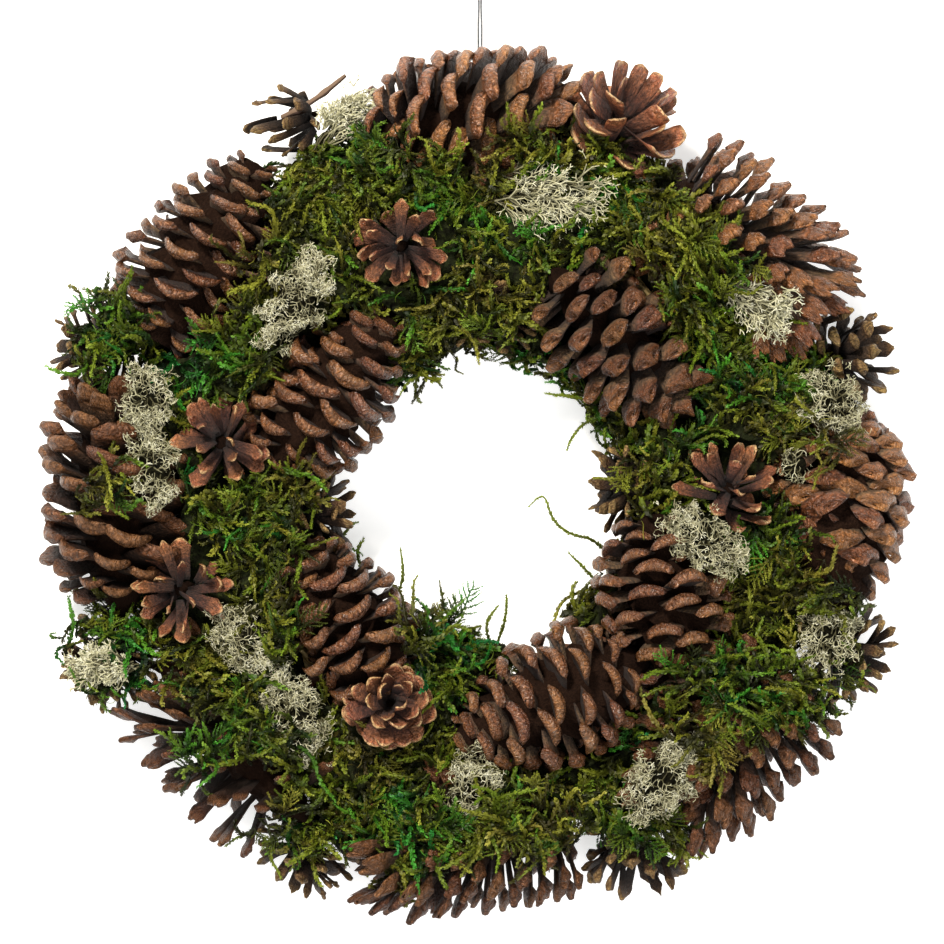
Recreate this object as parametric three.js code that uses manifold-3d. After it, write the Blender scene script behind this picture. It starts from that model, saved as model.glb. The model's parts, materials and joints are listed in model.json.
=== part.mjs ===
/**
 * Wreath of pine cones, green moss and reindeer lichen on a straw ring, lying on its flat back.
 *
 * Millimetres, +Z up, +Y towards the hanger. The straw ring's axis is the Z axis. Large open
 * cones lie along the outer and inner edges, small cones fill the places between them or stand
 * on the front as rosettes, and moss fills the rest. Every piece is cut back from the pieces
 * it beds against, so that neighbours stay GAP apart.
 */
import * as THREE from "three";
import { mergeVertices } from "three/addons/utils/BufferGeometryUtils.js";
import Module from "manifold-3d";

// Space between neighbouring pieces.
const GAP = 0.3;
// Extra growth that keeps GAP at the middle of a facet as well as at its corners.
const CLEARANCE = 0.33;

// Straw ring: radius of the section's centre line, and the section itself as [out, up] points.
const RING_RADIUS = 106;
const RING_HALF_WIDTH = 22;
const RING_HEIGHT = 35;
const RING_BACK_HALF_WIDTH = 14;
const RING_SEGMENTS = 40;

// Moss mat: it wraps the front and both sides of the ring and is laid in separate clumps.
const MOSS_OUTER_RADIUS = 148;
const MOSS_INNER_RADIUS = 62;
const MOSS_INNER_SHIFT = 8;
const MOSS_UNDERSIDE = 6;
const MOSS_TOP = 57;
const MOSS_BUMP = 2.2;
const MOSS_SEGMENTS = 36;
const MOSS_CLUMPS = 12;
const MOSS_FIRST_SEAM = 8;

// Cone bodies: number of sides and of scale rows, and how deep the rows are grooved.
const LARGE_SIDES = 10;
const LARGE_ROWS = 6;
const SMALL_SIDES = 8;
const SMALL_ROWS = 4;
const GROOVE_DEPTH = 0.3;
const LOBE_DEPTH = 0.12;

// Outline of an open cone as [share of the length from the base, share of the radius].
const CONE_OUTLINE = [
  [0, 0.55],
  [0.24, 1],
  [0.56, 0.96],
  [0.84, 0.62],
  [1, 0.24],
];

// Hanger: one thin line in a long narrow loop that lies on the surface above the ring.
const HANGER_DIAMETER = 0.8;
const HANGER_X = 1.3;
const HANGER_LEG_SPACING = 1.4;
const HANGER_ROOT_Y = 126.5;
const HANGER_ROOT_Z = 5;
const HANGER_NECK_Y = 206;
const HANGER_END_Y = 222;
const HANGER_BULGE = 3.6;
const HANGER_STEPS = 42;
const HANGER_SIDES = 6;

// Twig left on the base of the cone at the upper left.
const TWIG_START = [-64, 151.5, 35];
const TWIG_END = [-54, 165.5, 37];
const TWIG_RADIUS = 1.6;

// Colours of the finishes.
const STRAW = "#a98d55";
const CONE_BROWN = "#6f3f28";
const SMALL_CONE_BROWN = "#5d3523";
const MOSS_GREEN = "#4a5c1f";
const LICHEN_GREY = "#b9b6a0";
const TWIG_BROWN = "#5a4633";
const WIRE_GREY = "#a4a7ab";

// Large cones: name, centre x, y, z, heading of the tip in degrees from +X, length, radius.
const LARGE_CONES = [
  ["outer_cone_upper_left", -111, 93, 38, 60, 90, 33],
  ["outer_cone_top", 1.5, 145, 39, 6, 88, 32],
  ["outer_cone_upper_right", 109, 90, 39, 317, 86, 34],
  ["outer_cone_right", 148, -17, 40, 268, 84, 32],
  ["outer_cone_lower_right", 99, -109, 38, 222, 88, 33],
  ["outer_cone_bottom", -6, -145, 37, 183, 96, 32],
  ["outer_cone_lower_left", -103, -104, 38, 133, 88, 33],
  ["outer_cone_left", -148, -2, 37, 92, 94, 32],
  ["inner_cone_upper_right", 62, 53, 51, 315, 84, 30],
  ["inner_cone_right", 78, -55, 53, 280, 80, 30],
  ["inner_cone_bottom", 27, -92, 56, 205, 82, 30],
  ["inner_cone_lower_left", -55, -57, 50, 120, 76, 29],
  ["inner_cone_upper_left", -59, 37, 47, 53, 80, 30],
];

// Small cones: name, centre x, y, z, heading, rise of the tip above level, length, radius.
const SMALL_CONES = [
  ["edge_cone_right_upper", 154, 50, 32, 5, 12, 38, 20],
  ["edge_cone_top_right", 61, 148, 42, 55, 48, 42, 24],
  ["edge_cone_top_left", -81, 146, 34, 195, 5, 34, 17],
  ["edge_cone_left_upper", -157, 54, 31, 178, 8, 38, 19],
  ["edge_cone_left_lower", -152, -77, 30, 238, 0, 38, 19],
  ["edge_cone_bottom_left", -70, -154, 30, 248, 10, 38, 21],
  ["edge_cone_bottom_right", 66, -155, 31, 285, 12, 38, 21],
  ["edge_cone_right_lower", 153, -71, 31, 345, 10, 40, 21],
  ["rim_cone_top", 8, 66, 40, 265, 0, 34, 19],
  ["rim_cone_right", 62, -4, 38, 184, 0, 34, 19],
  ["rim_cone_left", -66, -14, 36, 4, 0, 34, 19],
  ["rosette_cone_top", -31, 93, 63, 250, 72, 38, 21],
  ["rosette_cone_left", -104, 15, 62, 120, 78, 38, 22],
  ["rosette_cone_lower_left", -121, -46, 60, 200, 76, 38, 24],
  ["rosette_cone_bottom", -35, -91, 66, 60, 74, 38, 20],
  ["rosette_cone_right", 103, -2, 62, 70, 62, 38, 23],
];

// Lichen tufts: centre x, y, z, half length, half width, turn in degrees.
const LICHEN_TUFTS = [
  [-53, 149, 42, 17, 10, 45],
  [32, 114, 58, 22, 14, -10],
  [115, 71, 64, 18, 10, -30],
  [145, 30, 54, 16, 12, 112],
  [128, 5, 62.5, 7, 7, 0],
  [91, -25, 70.5, 20, 11, -35],
  [143, -65, 52, 14, 12, 60],
  [77, -122, 62, 22, 12, 45],
  [-2, -127, 64, 19, 10, 80],
  [-92, -65, 60, 14, 10, -55],
  [-74, -96, 60, 18, 10, -62],
  [-155, -77, 50.5, 14, 9, 5],
  [-134, 32, 60, 14, 10, 80],
  [-131, 5, 64, 17, 9, 100],
  [-74, 72, 60, 22, 11, 62],
];
const LICHEN_HEIGHT = 8;
const LICHEN_SIDES = 10;
const LICHEN_ROWS = 4;

const wasm = await Module();
wasm.setup();

const radians = THREE.MathUtils.degToRad;

/** Surface finish of one piece. */
function finish(name, color, roughness) {
  return new THREE.MeshStandardMaterial({ name, color, roughness, metalness: 0 });
}

/** Straight-line reading of a table of [position, value] pairs. */
function readTable(table, position) {
  for (let i = 1; i < table.length; i += 1) {
    const [start, low] = table[i - 1];
    const [end, high] = table[i];
    if (position <= end) {
      const share = Math.max(0, (position - start) / (end - start));
      return low + (high - low) * share;
    }
  }
  return table[table.length - 1][1];
}

/** Slow wave without a repeat inside one wreath, between -1 and 1. */
function wave(angle, level, seed) {
  const first = Math.sin(3 * angle + 1.7 * level + seed);
  const second = Math.sin(7 * angle - 2.3 * level + 2 * seed);
  const third = Math.sin(13 * angle + 3.1 * level + 5 * seed);
  return 0.45 * first + 0.35 * second + 0.2 * third;
}

/** Closed body from rings of equally many points, with a flat or pointed cap at both ends. */
function cappedRings(rings, startPole, endPole) {
  const sides = rings[0].length;
  const points = [startPole, ...rings.flat(), endPole];
  const last = points.length - 1;
  const index = [];
  for (let side = 0; side < sides; side += 1) {
    const next = (side + 1) % sides;
    index.push(0, 1 + next, 1 + side);
    for (let ring = 1; ring < rings.length; ring += 1) {
      const below = 1 + (ring - 1) * sides;
      const above = below + sides;
      index.push(below + side, below + next, above + next);
      index.push(below + side, above + next, above + side);
    }
    const top = 1 + (rings.length - 1) * sides;
    index.push(top + side, top + next, last);
  }
  return indexed(points, index);
}

/** Closed ring-shaped body from sections that follow each other around the Z axis. */
function closedLoop(sections) {
  const count = sections.length;
  const corners = sections[0].length;
  const index = [];
  for (let i = 0; i < count; i += 1) {
    const here = i * corners;
    const there = ((i + 1) % count) * corners;
    for (let j = 0; j < corners; j += 1) {
      const k = (j + 1) % corners;
      index.push(here + j, there + k, here + k);
      index.push(here + j, there + j, there + k);
    }
  }
  return indexed(sections.flat(), index);
}

/** Geometry from points and triangle corners. */
function indexed(points, index) {
  const geometry = new THREE.BufferGeometry();
  geometry.setAttribute("position", new THREE.Float32BufferAttribute(points.flat(), 3));
  geometry.setIndex(index);
  return geometry;
}

/** Solid of a geometry that is moved by a pose. */
function solidOf(geometry, pose) {
  const moved = geometry.clone().applyMatrix4(pose);
  moved.deleteAttribute("normal");
  moved.deleteAttribute("uv");
  const merged = mergeVertices(moved, 1e-4);
  const vertProperties = new Float32Array(merged.attributes.position.array);
  const triVerts = new Uint32Array(merged.index.array);
  return new wasm.Manifold(new wasm.Mesh({ numProp: 3, vertProperties, triVerts }));
}

/** The largest body of a solid, without the chips that a cut leaves. */
function largestBody(solid) {
  const bodies = solid.decompose();
  bodies.sort((a, b) => b.volume() - a.volume());
  return bodies[0];
}

/** A solid cut back from every one of the others, reduced to its largest body. */
function cutBack(solid, others) {
  let result = solid;
  for (const other of others) {
    result = result.subtract(other);
  }
  return largestBody(result);
}

/** Mesh of a solid given in the wreath's frame, stored in the frame of its own pose. */
function meshOf(name, solid, pose, material) {
  const shape = solid.getMesh();
  const geometry = new THREE.BufferGeometry();
  const positions = new Float32Array(shape.vertProperties);
  geometry.setAttribute("position", new THREE.BufferAttribute(positions, 3));
  geometry.setIndex(Array.from(shape.triVerts));
  geometry.applyMatrix4(pose.clone().invert());
  geometry.computeVertexNormals();
  const mesh = new THREE.Mesh(geometry, material);
  mesh.name = name;
  pose.decompose(mesh.position, mesh.quaternion, mesh.scale);
  return mesh;
}

/** Pose with its Z axis along a heading and a rise, both in degrees. */
function poseAlong(x, y, z, heading, rise) {
  const level = Math.cos(radians(rise));
  const axis = new THREE.Vector3(
    level * Math.cos(radians(heading)),
    level * Math.sin(radians(heading)),
    Math.sin(radians(rise)),
  );
  const turn = new THREE.Quaternion().setFromUnitVectors(new THREE.Vector3(0, 0, 1), axis);
  return new THREE.Matrix4().compose(new THREE.Vector3(x, y, z), turn, new THREE.Vector3(1, 1, 1));
}

/** Pose with a turn about the Z axis only. */
function poseFlat(x, y, z, turn = 0) {
  const matrix = new THREE.Matrix4().makeRotationZ(radians(turn));
  return matrix.setPosition(x, y, z);
}

/** Points of one level ring of a cone; every second corner can be drawn in as a lobe. */
function coneRing(radius, height, sides, drawnIn, phase) {
  const ring = [];
  for (let side = 0; side < sides; side += 1) {
    const angle = (2 * Math.PI * side) / sides;
    const lobe = side % 2 === phase ? 1 - drawnIn : 1;
    ring.push([radius * lobe * Math.cos(angle), radius * lobe * Math.sin(angle), height]);
  }
  return ring;
}

/** Open cone with rows of scale tips, centred on its own middle, tip towards +Z. */
function coneBody(length, radius, sides, rows) {
  const rings = [coneRing(radius * 0.36, -length / 2, sides, 0, 0)];
  for (let row = 0; row < rows; row += 1) {
    const rim = (row + 0.55) / rows;
    const groove = (row + 1) / rows;
    const rimRadius = radius * readTable(CONE_OUTLINE, rim);
    rings.push(coneRing(rimRadius, length * (rim - 0.5), sides, LOBE_DEPTH, row % 2));
    const depth = row === rows - 1 ? 0 : GROOVE_DEPTH;
    const grooveRadius = radius * readTable(CONE_OUTLINE, groove) * (1 - depth);
    rings.push(coneRing(grooveRadius, length * (groove - 0.5), sides, 0, 0));
  }
  return cappedRings(rings, [0, 0, -length / 2], [0, 0, length / 2]);
}

/** Smooth outline of a cone, grown by the clearance. */
function coneEnvelope(length, radius, sides) {
  const rings = CONE_OUTLINE.map(([share, width], i) => {
    let height = length * (share - 0.5);
    if (i === 0) {
      height -= CLEARANCE;
    }
    if (i === CONE_OUTLINE.length - 1) {
      height += CLEARANCE;
    }
    return coneRing(radius * width + CLEARANCE, height, sides, 0, 0);
  });
  const end = length / 2 + CLEARANCE;
  return cappedRings(rings, [0, 0, -end], [0, 0, end]);
}

/** Section of the straw ring as [out, up] points, grown by an offset. */
function ringSection(grow) {
  const half = RING_HALF_WIDTH + grow;
  const back = RING_BACK_HALF_WIDTH + grow;
  const top = RING_HEIGHT + grow;
  return [
    [-back, -grow],
    [back, -grow],
    [half - 2, 5],
    [half, 15],
    [half - 4, 26],
    [9 + grow * 0.5, top - 2],
    [-9 - grow * 0.5, top - 2],
    [4 - half, 26],
    [-half, 15],
    [2 - half, 5],
  ];
}

/** Straw ring, grown by an offset. */
function strawRing(grow) {
  const section = ringSection(grow);
  const sections = [];
  for (let i = 0; i < RING_SEGMENTS; i += 1) {
    const angle = (2 * Math.PI * i) / RING_SEGMENTS;
    sections.push(
      section.map(([out, up]) => [
        (RING_RADIUS + out) * Math.cos(angle),
        (RING_RADIUS + out) * Math.sin(angle),
        up,
      ]),
    );
  }
  return closedLoop(sections);
}

/** Whole moss mat before it is cut into clumps. */
function mossMat() {
  const sections = [];
  for (let i = 0; i < MOSS_SEGMENTS; i += 1) {
    const angle = (2 * Math.PI * i) / MOSS_SEGMENTS;
    const inner = MOSS_INNER_RADIUS - MOSS_INNER_SHIFT * Math.sin(angle);
    const outer = MOSS_OUTER_RADIUS;
    const section = [
      [inner + 10, MOSS_UNDERSIDE + 4],
      [outer - 6, MOSS_UNDERSIDE],
      [outer, 20],
      [outer - 2, 38],
      [outer - 13, MOSS_TOP - 6],
      [(inner + outer) / 2, MOSS_TOP],
      [inner + 14, MOSS_TOP - 5],
      [inner + 1, 40],
      [inner, 22],
    ];
    sections.push(
      section.map(([out, up], level) => {
        const swell = level < 2 ? 0 : MOSS_BUMP * wave(angle, level, 0.6);
        const centre = (inner + outer) / 2;
        const reach = out + swell * Math.sign(out - centre - 0.01);
        const height = level < 2 ? up : up + MOSS_BUMP * wave(angle, level, 2.1);
        return [reach * Math.cos(angle), reach * Math.sin(angle), height];
      }),
    );
  }
  return closedLoop(sections);
}

/** Upright prism over one sector of the ring, with slanted seams half a gap inside. */
function sectorPrism(startAngle, endAngle, startSkew, endSkew) {
  const near = 30;
  const far = 230;
  const corner = (angle, radius, side) => {
    const shift = (GAP / 2 + 0.02) * side;
    const x = radius * Math.cos(angle) - shift * Math.sin(angle);
    const y = radius * Math.sin(angle) + shift * Math.cos(angle);
    return new THREE.Vector2(x, y);
  };
  const middle = (startAngle + endAngle) / 2;
  const outline = new THREE.Shape([
    corner(startAngle, near, 1),
    corner(startAngle + startSkew, far, 1),
    corner(middle, far * 1.1, 0),
    corner(endAngle + endSkew, far, -1),
    corner(endAngle, near, -1),
  ]);
  return new THREE.ExtrudeGeometry(outline, { depth: 120, bevelEnabled: false });
}

/** Low uneven dome of lichen, centred on its own middle. */
function lichenDome(halfLength, halfWidth, seed, grow) {
  const rings = [];
  for (let row = 1; row < LICHEN_ROWS; row += 1) {
    const polar = Math.PI - (Math.PI * row) / LICHEN_ROWS;
    const ring = [];
    for (let side = 0; side < LICHEN_SIDES; side += 1) {
      const angle = (2 * Math.PI * side) / LICHEN_SIDES;
      const swell = 1 + 0.1 * wave(angle, row, seed);
      const out = Math.sin(polar) * swell;
      ring.push([
        (halfLength * out + grow * Math.sin(polar)) * Math.cos(angle),
        (halfWidth * out + grow * Math.sin(polar)) * Math.sin(angle),
        (LICHEN_HEIGHT * swell + grow) * Math.cos(polar),
      ]);
    }
    rings.push(ring);
  }
  const pole = LICHEN_HEIGHT + grow;
  return cappedRings(rings, [0, 0, -pole], [0, 0, pole]);
}

/** Short tapered twig between two points, grown by an offset. */
function twigBody(grow) {
  const start = new THREE.Vector3(...TWIG_START);
  const end = new THREE.Vector3(...TWIG_END);
  const length = start.distanceTo(end) + 2 * grow;
  const wide = TWIG_RADIUS * 1.15 + grow;
  const slim = TWIG_RADIUS * 0.85 + grow;
  const knob = TWIG_RADIUS + grow;
  const rings = [
    coneRing(wide, -length / 2, 8, 0, 0),
    coneRing(slim, 0, 8, 0, 0),
    coneRing(slim, length / 2 - 2, 8, 0, 0),
    coneRing(knob, length / 2, 8, 0, 0),
  ];
  return cappedRings(rings, [0, 0, -length / 2], [0, 0, length / 2]);
}

/** Pose of the twig: middle of its two ends, Z along it. */
function twigPose() {
  const start = new THREE.Vector3(...TWIG_START);
  const end = new THREE.Vector3(...TWIG_END);
  const middle = start.clone().add(end).multiplyScalar(0.5);
  const along = end.clone().sub(start);
  const heading = THREE.MathUtils.radToDeg(Math.atan2(along.y, along.x));
  const rise = THREE.MathUtils.radToDeg(Math.asin(along.z / along.length()));
  return poseAlong(middle.x, middle.y, middle.z, heading, rise);
}

/** Course of the hanger: out along one leg, around the loop's end and back along the other. */
function hangerCurve() {
  const leg = HANGER_LEG_SPACING / 2;
  const floor = HANGER_DIAMETER / 2 + 0.1;
  const half = [
    [leg, HANGER_ROOT_Y, HANGER_ROOT_Z],
    [leg, HANGER_ROOT_Y + 8, HANGER_ROOT_Z * 0.55],
    [leg, HANGER_ROOT_Y + 20, floor + 0.3],
    [leg, HANGER_ROOT_Y + 36, floor],
    [leg, HANGER_NECK_Y - 18, floor],
    [leg + 0.2, HANGER_NECK_Y, floor],
    [HANGER_BULGE, HANGER_END_Y - 7, floor],
    [HANGER_BULGE * 0.7, HANGER_END_Y - 1.5, floor],
  ];
  const right = half.map(([x, y, z]) => new THREE.Vector3(HANGER_X + x, y, z));
  const left = half.map(([x, y, z]) => new THREE.Vector3(HANGER_X - x, y, z)).reverse();
  const end = new THREE.Vector3(HANGER_X, HANGER_END_Y, floor);
  return new THREE.CatmullRomCurve3([...right, end, ...left], false, "centripetal");
}

/** Thin round line along the hanger's course. */
function hangerLine() {
  const radius = HANGER_DIAMETER / 2;
  const corners = [];
  for (let side = 0; side < HANGER_SIDES; side += 1) {
    const angle = (2 * Math.PI * side) / HANGER_SIDES;
    corners.push(new THREE.Vector2(radius * Math.cos(angle), radius * Math.sin(angle)));
  }
  return new THREE.ExtrudeGeometry(new THREE.Shape(corners), {
    steps: HANGER_STEPS,
    bevelEnabled: false,
    extrudePath: hangerCurve(),
  });
}

const wreath = new THREE.Group();
wreath.name = "cone_and_moss_wreath";
const noMove = new THREE.Matrix4();

// Straw ring.
const ringSolid = solidOf(strawRing(0), noMove);
const ringKeepOut = solidOf(strawRing(CLEARANCE), noMove);
wreath.add(meshOf("straw_ring", ringSolid, noMove, finish("straw", STRAW, 0.85)));

// Cones, each cut back from the ring and from the cones laid before it.
const keepOuts = [ringKeepOut];

/** Lay one cone on the wreath and add its outline to what later pieces keep clear of. */
function layCone(name, pose, length, radius, sides, rows, material) {
  const body = solidOf(coneBody(length, radius, sides, rows), pose);
  wreath.add(meshOf(name, cutBack(body, keepOuts), pose, material));
  keepOuts.push(solidOf(coneEnvelope(length, radius, sides), pose));
}

for (const [name, x, y, z, heading, length, radius] of LARGE_CONES) {
  const pose = poseAlong(x, y, z, heading, 0);
  const material = finish(`${name}_scales`, CONE_BROWN, 0.55);
  layCone(name, pose, length, radius, LARGE_SIDES, LARGE_ROWS, material);
}

for (const [name, x, y, z, heading, rise, length, radius] of SMALL_CONES) {
  const pose = poseAlong(x, y, z, heading, rise);
  const material = finish(`${name}_scales`, SMALL_CONE_BROWN, 0.6);
  layCone(name, pose, length, radius, SMALL_SIDES, SMALL_ROWS, material);
}

// Twig on the cone at the upper left.
const twigAt = twigPose();
const twigSolid = cutBack(solidOf(twigBody(0), twigAt), keepOuts);
wreath.add(meshOf("cone_twig", twigSolid, twigAt, finish("twig_bark", TWIG_BROWN, 0.8)));
keepOuts.push(solidOf(twigBody(CLEARANCE), twigAt));

// Lichen tufts.
LICHEN_TUFTS.forEach(([x, y, z, halfLength, halfWidth, turn], i) => {
  const name = `lichen_tuft_${String(i + 1).padStart(2, "0")}`;
  const pose = poseFlat(x, y, z, turn);
  const body = solidOf(lichenDome(halfLength, halfWidth, i, 0), pose);
  wreath.add(meshOf(name, cutBack(body, keepOuts), pose, finish(`${name}_thallus`, LICHEN_GREY, 0.9)));
  keepOuts.push(solidOf(lichenDome(halfLength, halfWidth, i, CLEARANCE), pose));
});

// Moss clumps between slanted seams.
const mat = solidOf(mossMat(), noMove);
const step = (2 * Math.PI) / MOSS_CLUMPS;
for (let i = 0; i < MOSS_CLUMPS; i += 1) {
  const start = radians(MOSS_FIRST_SEAM) + i * step;
  const skewAt = (seam) => 0.09 * Math.sin(2.4 * (seam % MOSS_CLUMPS));
  const sector = sectorPrism(start, start + step, skewAt(i), skewAt(i + 1));
  const clump = mat.intersect(solidOf(sector, noMove));
  const name = `moss_clump_${String(i + 1).padStart(2, "0")}`;
  const middle = start + step / 2;
  const pose = poseFlat(RING_RADIUS * Math.cos(middle), RING_RADIUS * Math.sin(middle), 40);
  const solid = cutBack(clump, keepOuts);
  wreath.add(meshOf(name, solid, pose, finish(`${name}_fronds`, MOSS_GREEN, 0.95)));
}

// Hanger.
const hangerSolid = solidOf(hangerLine(), noMove);
wreath.add(meshOf("hanger_line", hangerSolid, noMove, finish("hanger_wire", WIRE_GREY, 0.35)));

export default wreath;
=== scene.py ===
"""Looks of a pine cone and moss wreath that lies on its flat straw back, seen from above.

Blender works in metres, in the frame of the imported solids: +Y is the top of the wreath and +Z its front.
Sizes in the classes are in millimetres and angles in degrees, and both are turned where a mesh is made.
"""

import sys

import json
import logging
import math
from collections.abc import Callable
from dataclasses import dataclass, field, replace
from enum import Enum
from functools import cache, partial
from typing import Any, NamedTuple

import bmesh
import bpy
import numpy as np
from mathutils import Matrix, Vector

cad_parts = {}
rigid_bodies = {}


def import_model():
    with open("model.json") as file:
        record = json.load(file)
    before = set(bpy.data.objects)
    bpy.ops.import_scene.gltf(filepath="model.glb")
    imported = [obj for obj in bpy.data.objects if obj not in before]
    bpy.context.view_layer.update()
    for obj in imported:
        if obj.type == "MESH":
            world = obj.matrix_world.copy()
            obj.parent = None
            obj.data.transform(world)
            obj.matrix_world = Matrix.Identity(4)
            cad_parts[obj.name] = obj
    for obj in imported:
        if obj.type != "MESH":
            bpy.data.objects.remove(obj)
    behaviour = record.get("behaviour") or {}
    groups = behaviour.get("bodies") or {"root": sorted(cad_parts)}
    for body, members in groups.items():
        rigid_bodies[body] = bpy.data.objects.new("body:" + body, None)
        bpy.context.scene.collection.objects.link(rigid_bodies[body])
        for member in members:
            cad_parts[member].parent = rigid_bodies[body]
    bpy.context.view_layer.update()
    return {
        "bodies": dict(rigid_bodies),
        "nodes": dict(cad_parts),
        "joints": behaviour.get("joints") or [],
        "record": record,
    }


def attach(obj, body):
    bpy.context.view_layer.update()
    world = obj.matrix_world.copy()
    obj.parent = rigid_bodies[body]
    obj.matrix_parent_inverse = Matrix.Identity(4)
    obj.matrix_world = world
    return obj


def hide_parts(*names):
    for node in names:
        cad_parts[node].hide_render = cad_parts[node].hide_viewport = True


MM = 0.001
BODY = "root"
BAKE_MAP = "OFBake"
GOLDEN_ANGLE = 137.508
# Nothing of the wreath lies lower than this, in millimetres, so nothing cuts into the table.
LEAST_HEIGHT = 0.3
# The cone map is a sheet of tiles, whose patterns lie so far apart that no two are alike.
SHEET_SIDE = 4
TILE_SHIFT_MM = 53.0
# The part of the plan, in millimetres, that a map of felt stands for.
PLAN_WIDE = 960.0
PLAN_HIGH = 480.0
Array = np.ndarray
Rng = np.random.Generator
Material = bpy.types.Material
Piece = bpy.types.Object
Socket = bpy.types.NodeSocket
AddNode = Callable[..., Socket]
Stops = tuple[tuple[float, str], ...]
Profile = tuple[tuple[float, float], ...]
Spot = tuple[float, float, float]
Bends = tuple[Spot, ...]
log = logging.getLogger("wreath")


# ---------------------------------------------------------------- colour and nodes


def linear(code: str) -> tuple[float, float, float, float]:
    """Turns an sRGB hex colour into the linear colour that a shader takes.

    Args:
        code: The colour as "#rrggbb".

    Returns:
        Red, green, blue and an alpha of 1.
    """
    parts = [int(code[i : i + 2], 16) / 255 for i in (1, 3, 5)]
    red, green, blue = (p / 12.92 if p <= 0.04045 else ((p + 0.055) / 1.055) ** 2.4 for p in parts)
    return red, green, blue, 1.0


def add_node(
    tree: bpy.types.NodeTree,
    kind: str,
    inputs: dict[str | int, Any] | None = None,
    stops: Stops = (),
    out: str | int = 0,
    **settings: Any,
) -> Socket | None:
    """Adds a shader node with its settings, constants and links.

    Args:
        tree: The node tree of the material.
        kind: Blender's name of the node, without "ShaderNode".
        inputs: For each input, by name or number, a constant or the output that feeds it.
        stops: For a colour ramp, its places from 0 to 1 and their hex colours.
        out: Name or number of the output that is wanted.
        settings: Properties of the node itself, such as its operation.

    Returns:
        That output, or nothing for a node that ends the tree.
    """
    node = tree.nodes.new("ShaderNode" + kind)
    for name, value in settings.items():
        setattr(node, name, value)
    for key, value in (inputs or {}).items():
        if isinstance(value, Socket):
            tree.links.new(value, node.inputs[key])
        else:
            node.inputs[key].default_value = value
    if stops:
        ramp = node.color_ramp.elements
        while len(ramp) < len(stops):
            ramp.new(0.5)
        for element, (place, code) in zip(ramp, sorted(stops), strict=True):
            element.position = place
            element.color = linear(code)
    return node.outputs[out] if node.outputs else None


# ---------------------------------------------------------------- meshes


class Shape(NamedTuple):
    """A closed shape: its points, the numbers of each face's points and the map places of its corners."""

    points: Array
    faces: Array
    places: Array


@dataclass
class Sketch:
    """Points and faces of one piece, gathered as arrays until Blender gets them as one mesh."""

    parts: list[tuple[Array, ...]] = field(default_factory=list)
    filled: int = 0

    def add(self, points: Array, faces: Array, places: Array, coat: int = 0) -> None:
        """Adds one shape, or many copies of it that share their faces.

        Args:
            points: Points in millimetres, (n, 3) or (copies, n, 3).
            faces: Numbers of each face's points, (faces, corners).
            places: Map places of the corners, (faces, corners, 2) or (copies, faces, corners, 2).
            coat: Number of the piece's material.
        """
        copies = points.reshape(-1, *points.shape[-2:])
        count, each = copies.shape[:2]
        if not count:
            return
        shift = self.filled + each * np.arange(count)
        corners = (faces[None] + shift[:, None, None]).ravel()
        spots = np.broadcast_to(places, (count, *faces.shape, 2)).reshape(-1, 2)
        sides = np.full(count * len(faces), faces.shape[1])
        self.parts.append((copies.reshape(-1, 3), corners, spots, sides, np.full(len(sides), coat)))
        self.filled += count * each

    def finish(self, name: str, materials: list[Material]) -> Piece:
        """Makes the Blender object.

        Args:
            name: Name of the piece.
            materials: Its materials, in the order of the coat numbers.

        Returns:
            The object, linked to the scene.
        """
        points, corners, places, sides, coats = map(np.concatenate, zip(*self.parts, strict=True))
        data = bpy.data.meshes.new(name)
        data.vertices.add(len(points))
        data.vertices.foreach_set("co", (points * MM).astype(np.float32).ravel())
        data.loops.add(len(corners))
        data.loops.foreach_set("vertex_index", corners.astype(np.int32))
        data.polygons.add(len(sides))
        data.polygons.foreach_set("loop_start", (np.cumsum(sides) - sides).astype(np.int32))
        data.polygons.foreach_set("material_index", coats.astype(np.int32))
        data.polygons.foreach_set("use_smooth", np.ones(len(sides), bool))
        layer = data.uv_layers.new(name=BAKE_MAP, do_init=False)
        layer.uv.foreach_set("vector", places.astype(np.float32).ravel())
        data.update(calc_edges=True)
        for material in materials:
            data.materials.append(material)
        piece = bpy.data.objects.new(name, data)
        bpy.context.scene.collection.objects.link(piece)
        log.info("%s: %d faces", name, len(sides))
        return piece

    def stand_for(self, solid: str, ending: str, materials: list[Material]) -> Piece:
        """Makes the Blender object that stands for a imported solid.

        Args:
            solid: Name of the solid, with which the piece's name begins.
            ending: How the piece's name ends.
            materials: Its materials, in the order of the coat numbers.

        Returns:
            The piece.
        """
        piece = self.finish(f"{solid}_{ending}", materials)
        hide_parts(solid)
        return piece


def unit(vectors: Array) -> Array:
    """Vectors along the last axis, each made one long."""
    return vectors / np.maximum(np.linalg.norm(vectors, axis=-1, keepdims=True), 1e-9)


def placed(shape: Array, frames: Array, origins: Array) -> Array:
    """Copies a shape, each copy turned by its frame and moved to its origin.

    Args:
        shape: Points of the shape, (n, 3).
        frames: A matrix for each copy whose columns are its axes, (copies, 3, 3).
        origins: Where each copy goes, (copies, 3).

    Returns:
        The copies' points, (copies, n, 3).
    """
    return np.einsum("cij,nj->cni", frames, shape) + origins[:, None]


def frames_along(along: Array, near: Array) -> Array:
    """Frames whose Y axis runs along a direction and whose Z axis lies close to another.

    Args:
        along: Directions of the Y axes, (n, 3).
        near: Directions that the Z axes lean to, (n, 3).

    Returns:
        Matrices with the axes as columns, (n, 3, 3).
    """
    y = unit(along)
    x = unit(np.cross(y, near))
    return np.stack([x, y, np.cross(x, y)], axis=-1)


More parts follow.
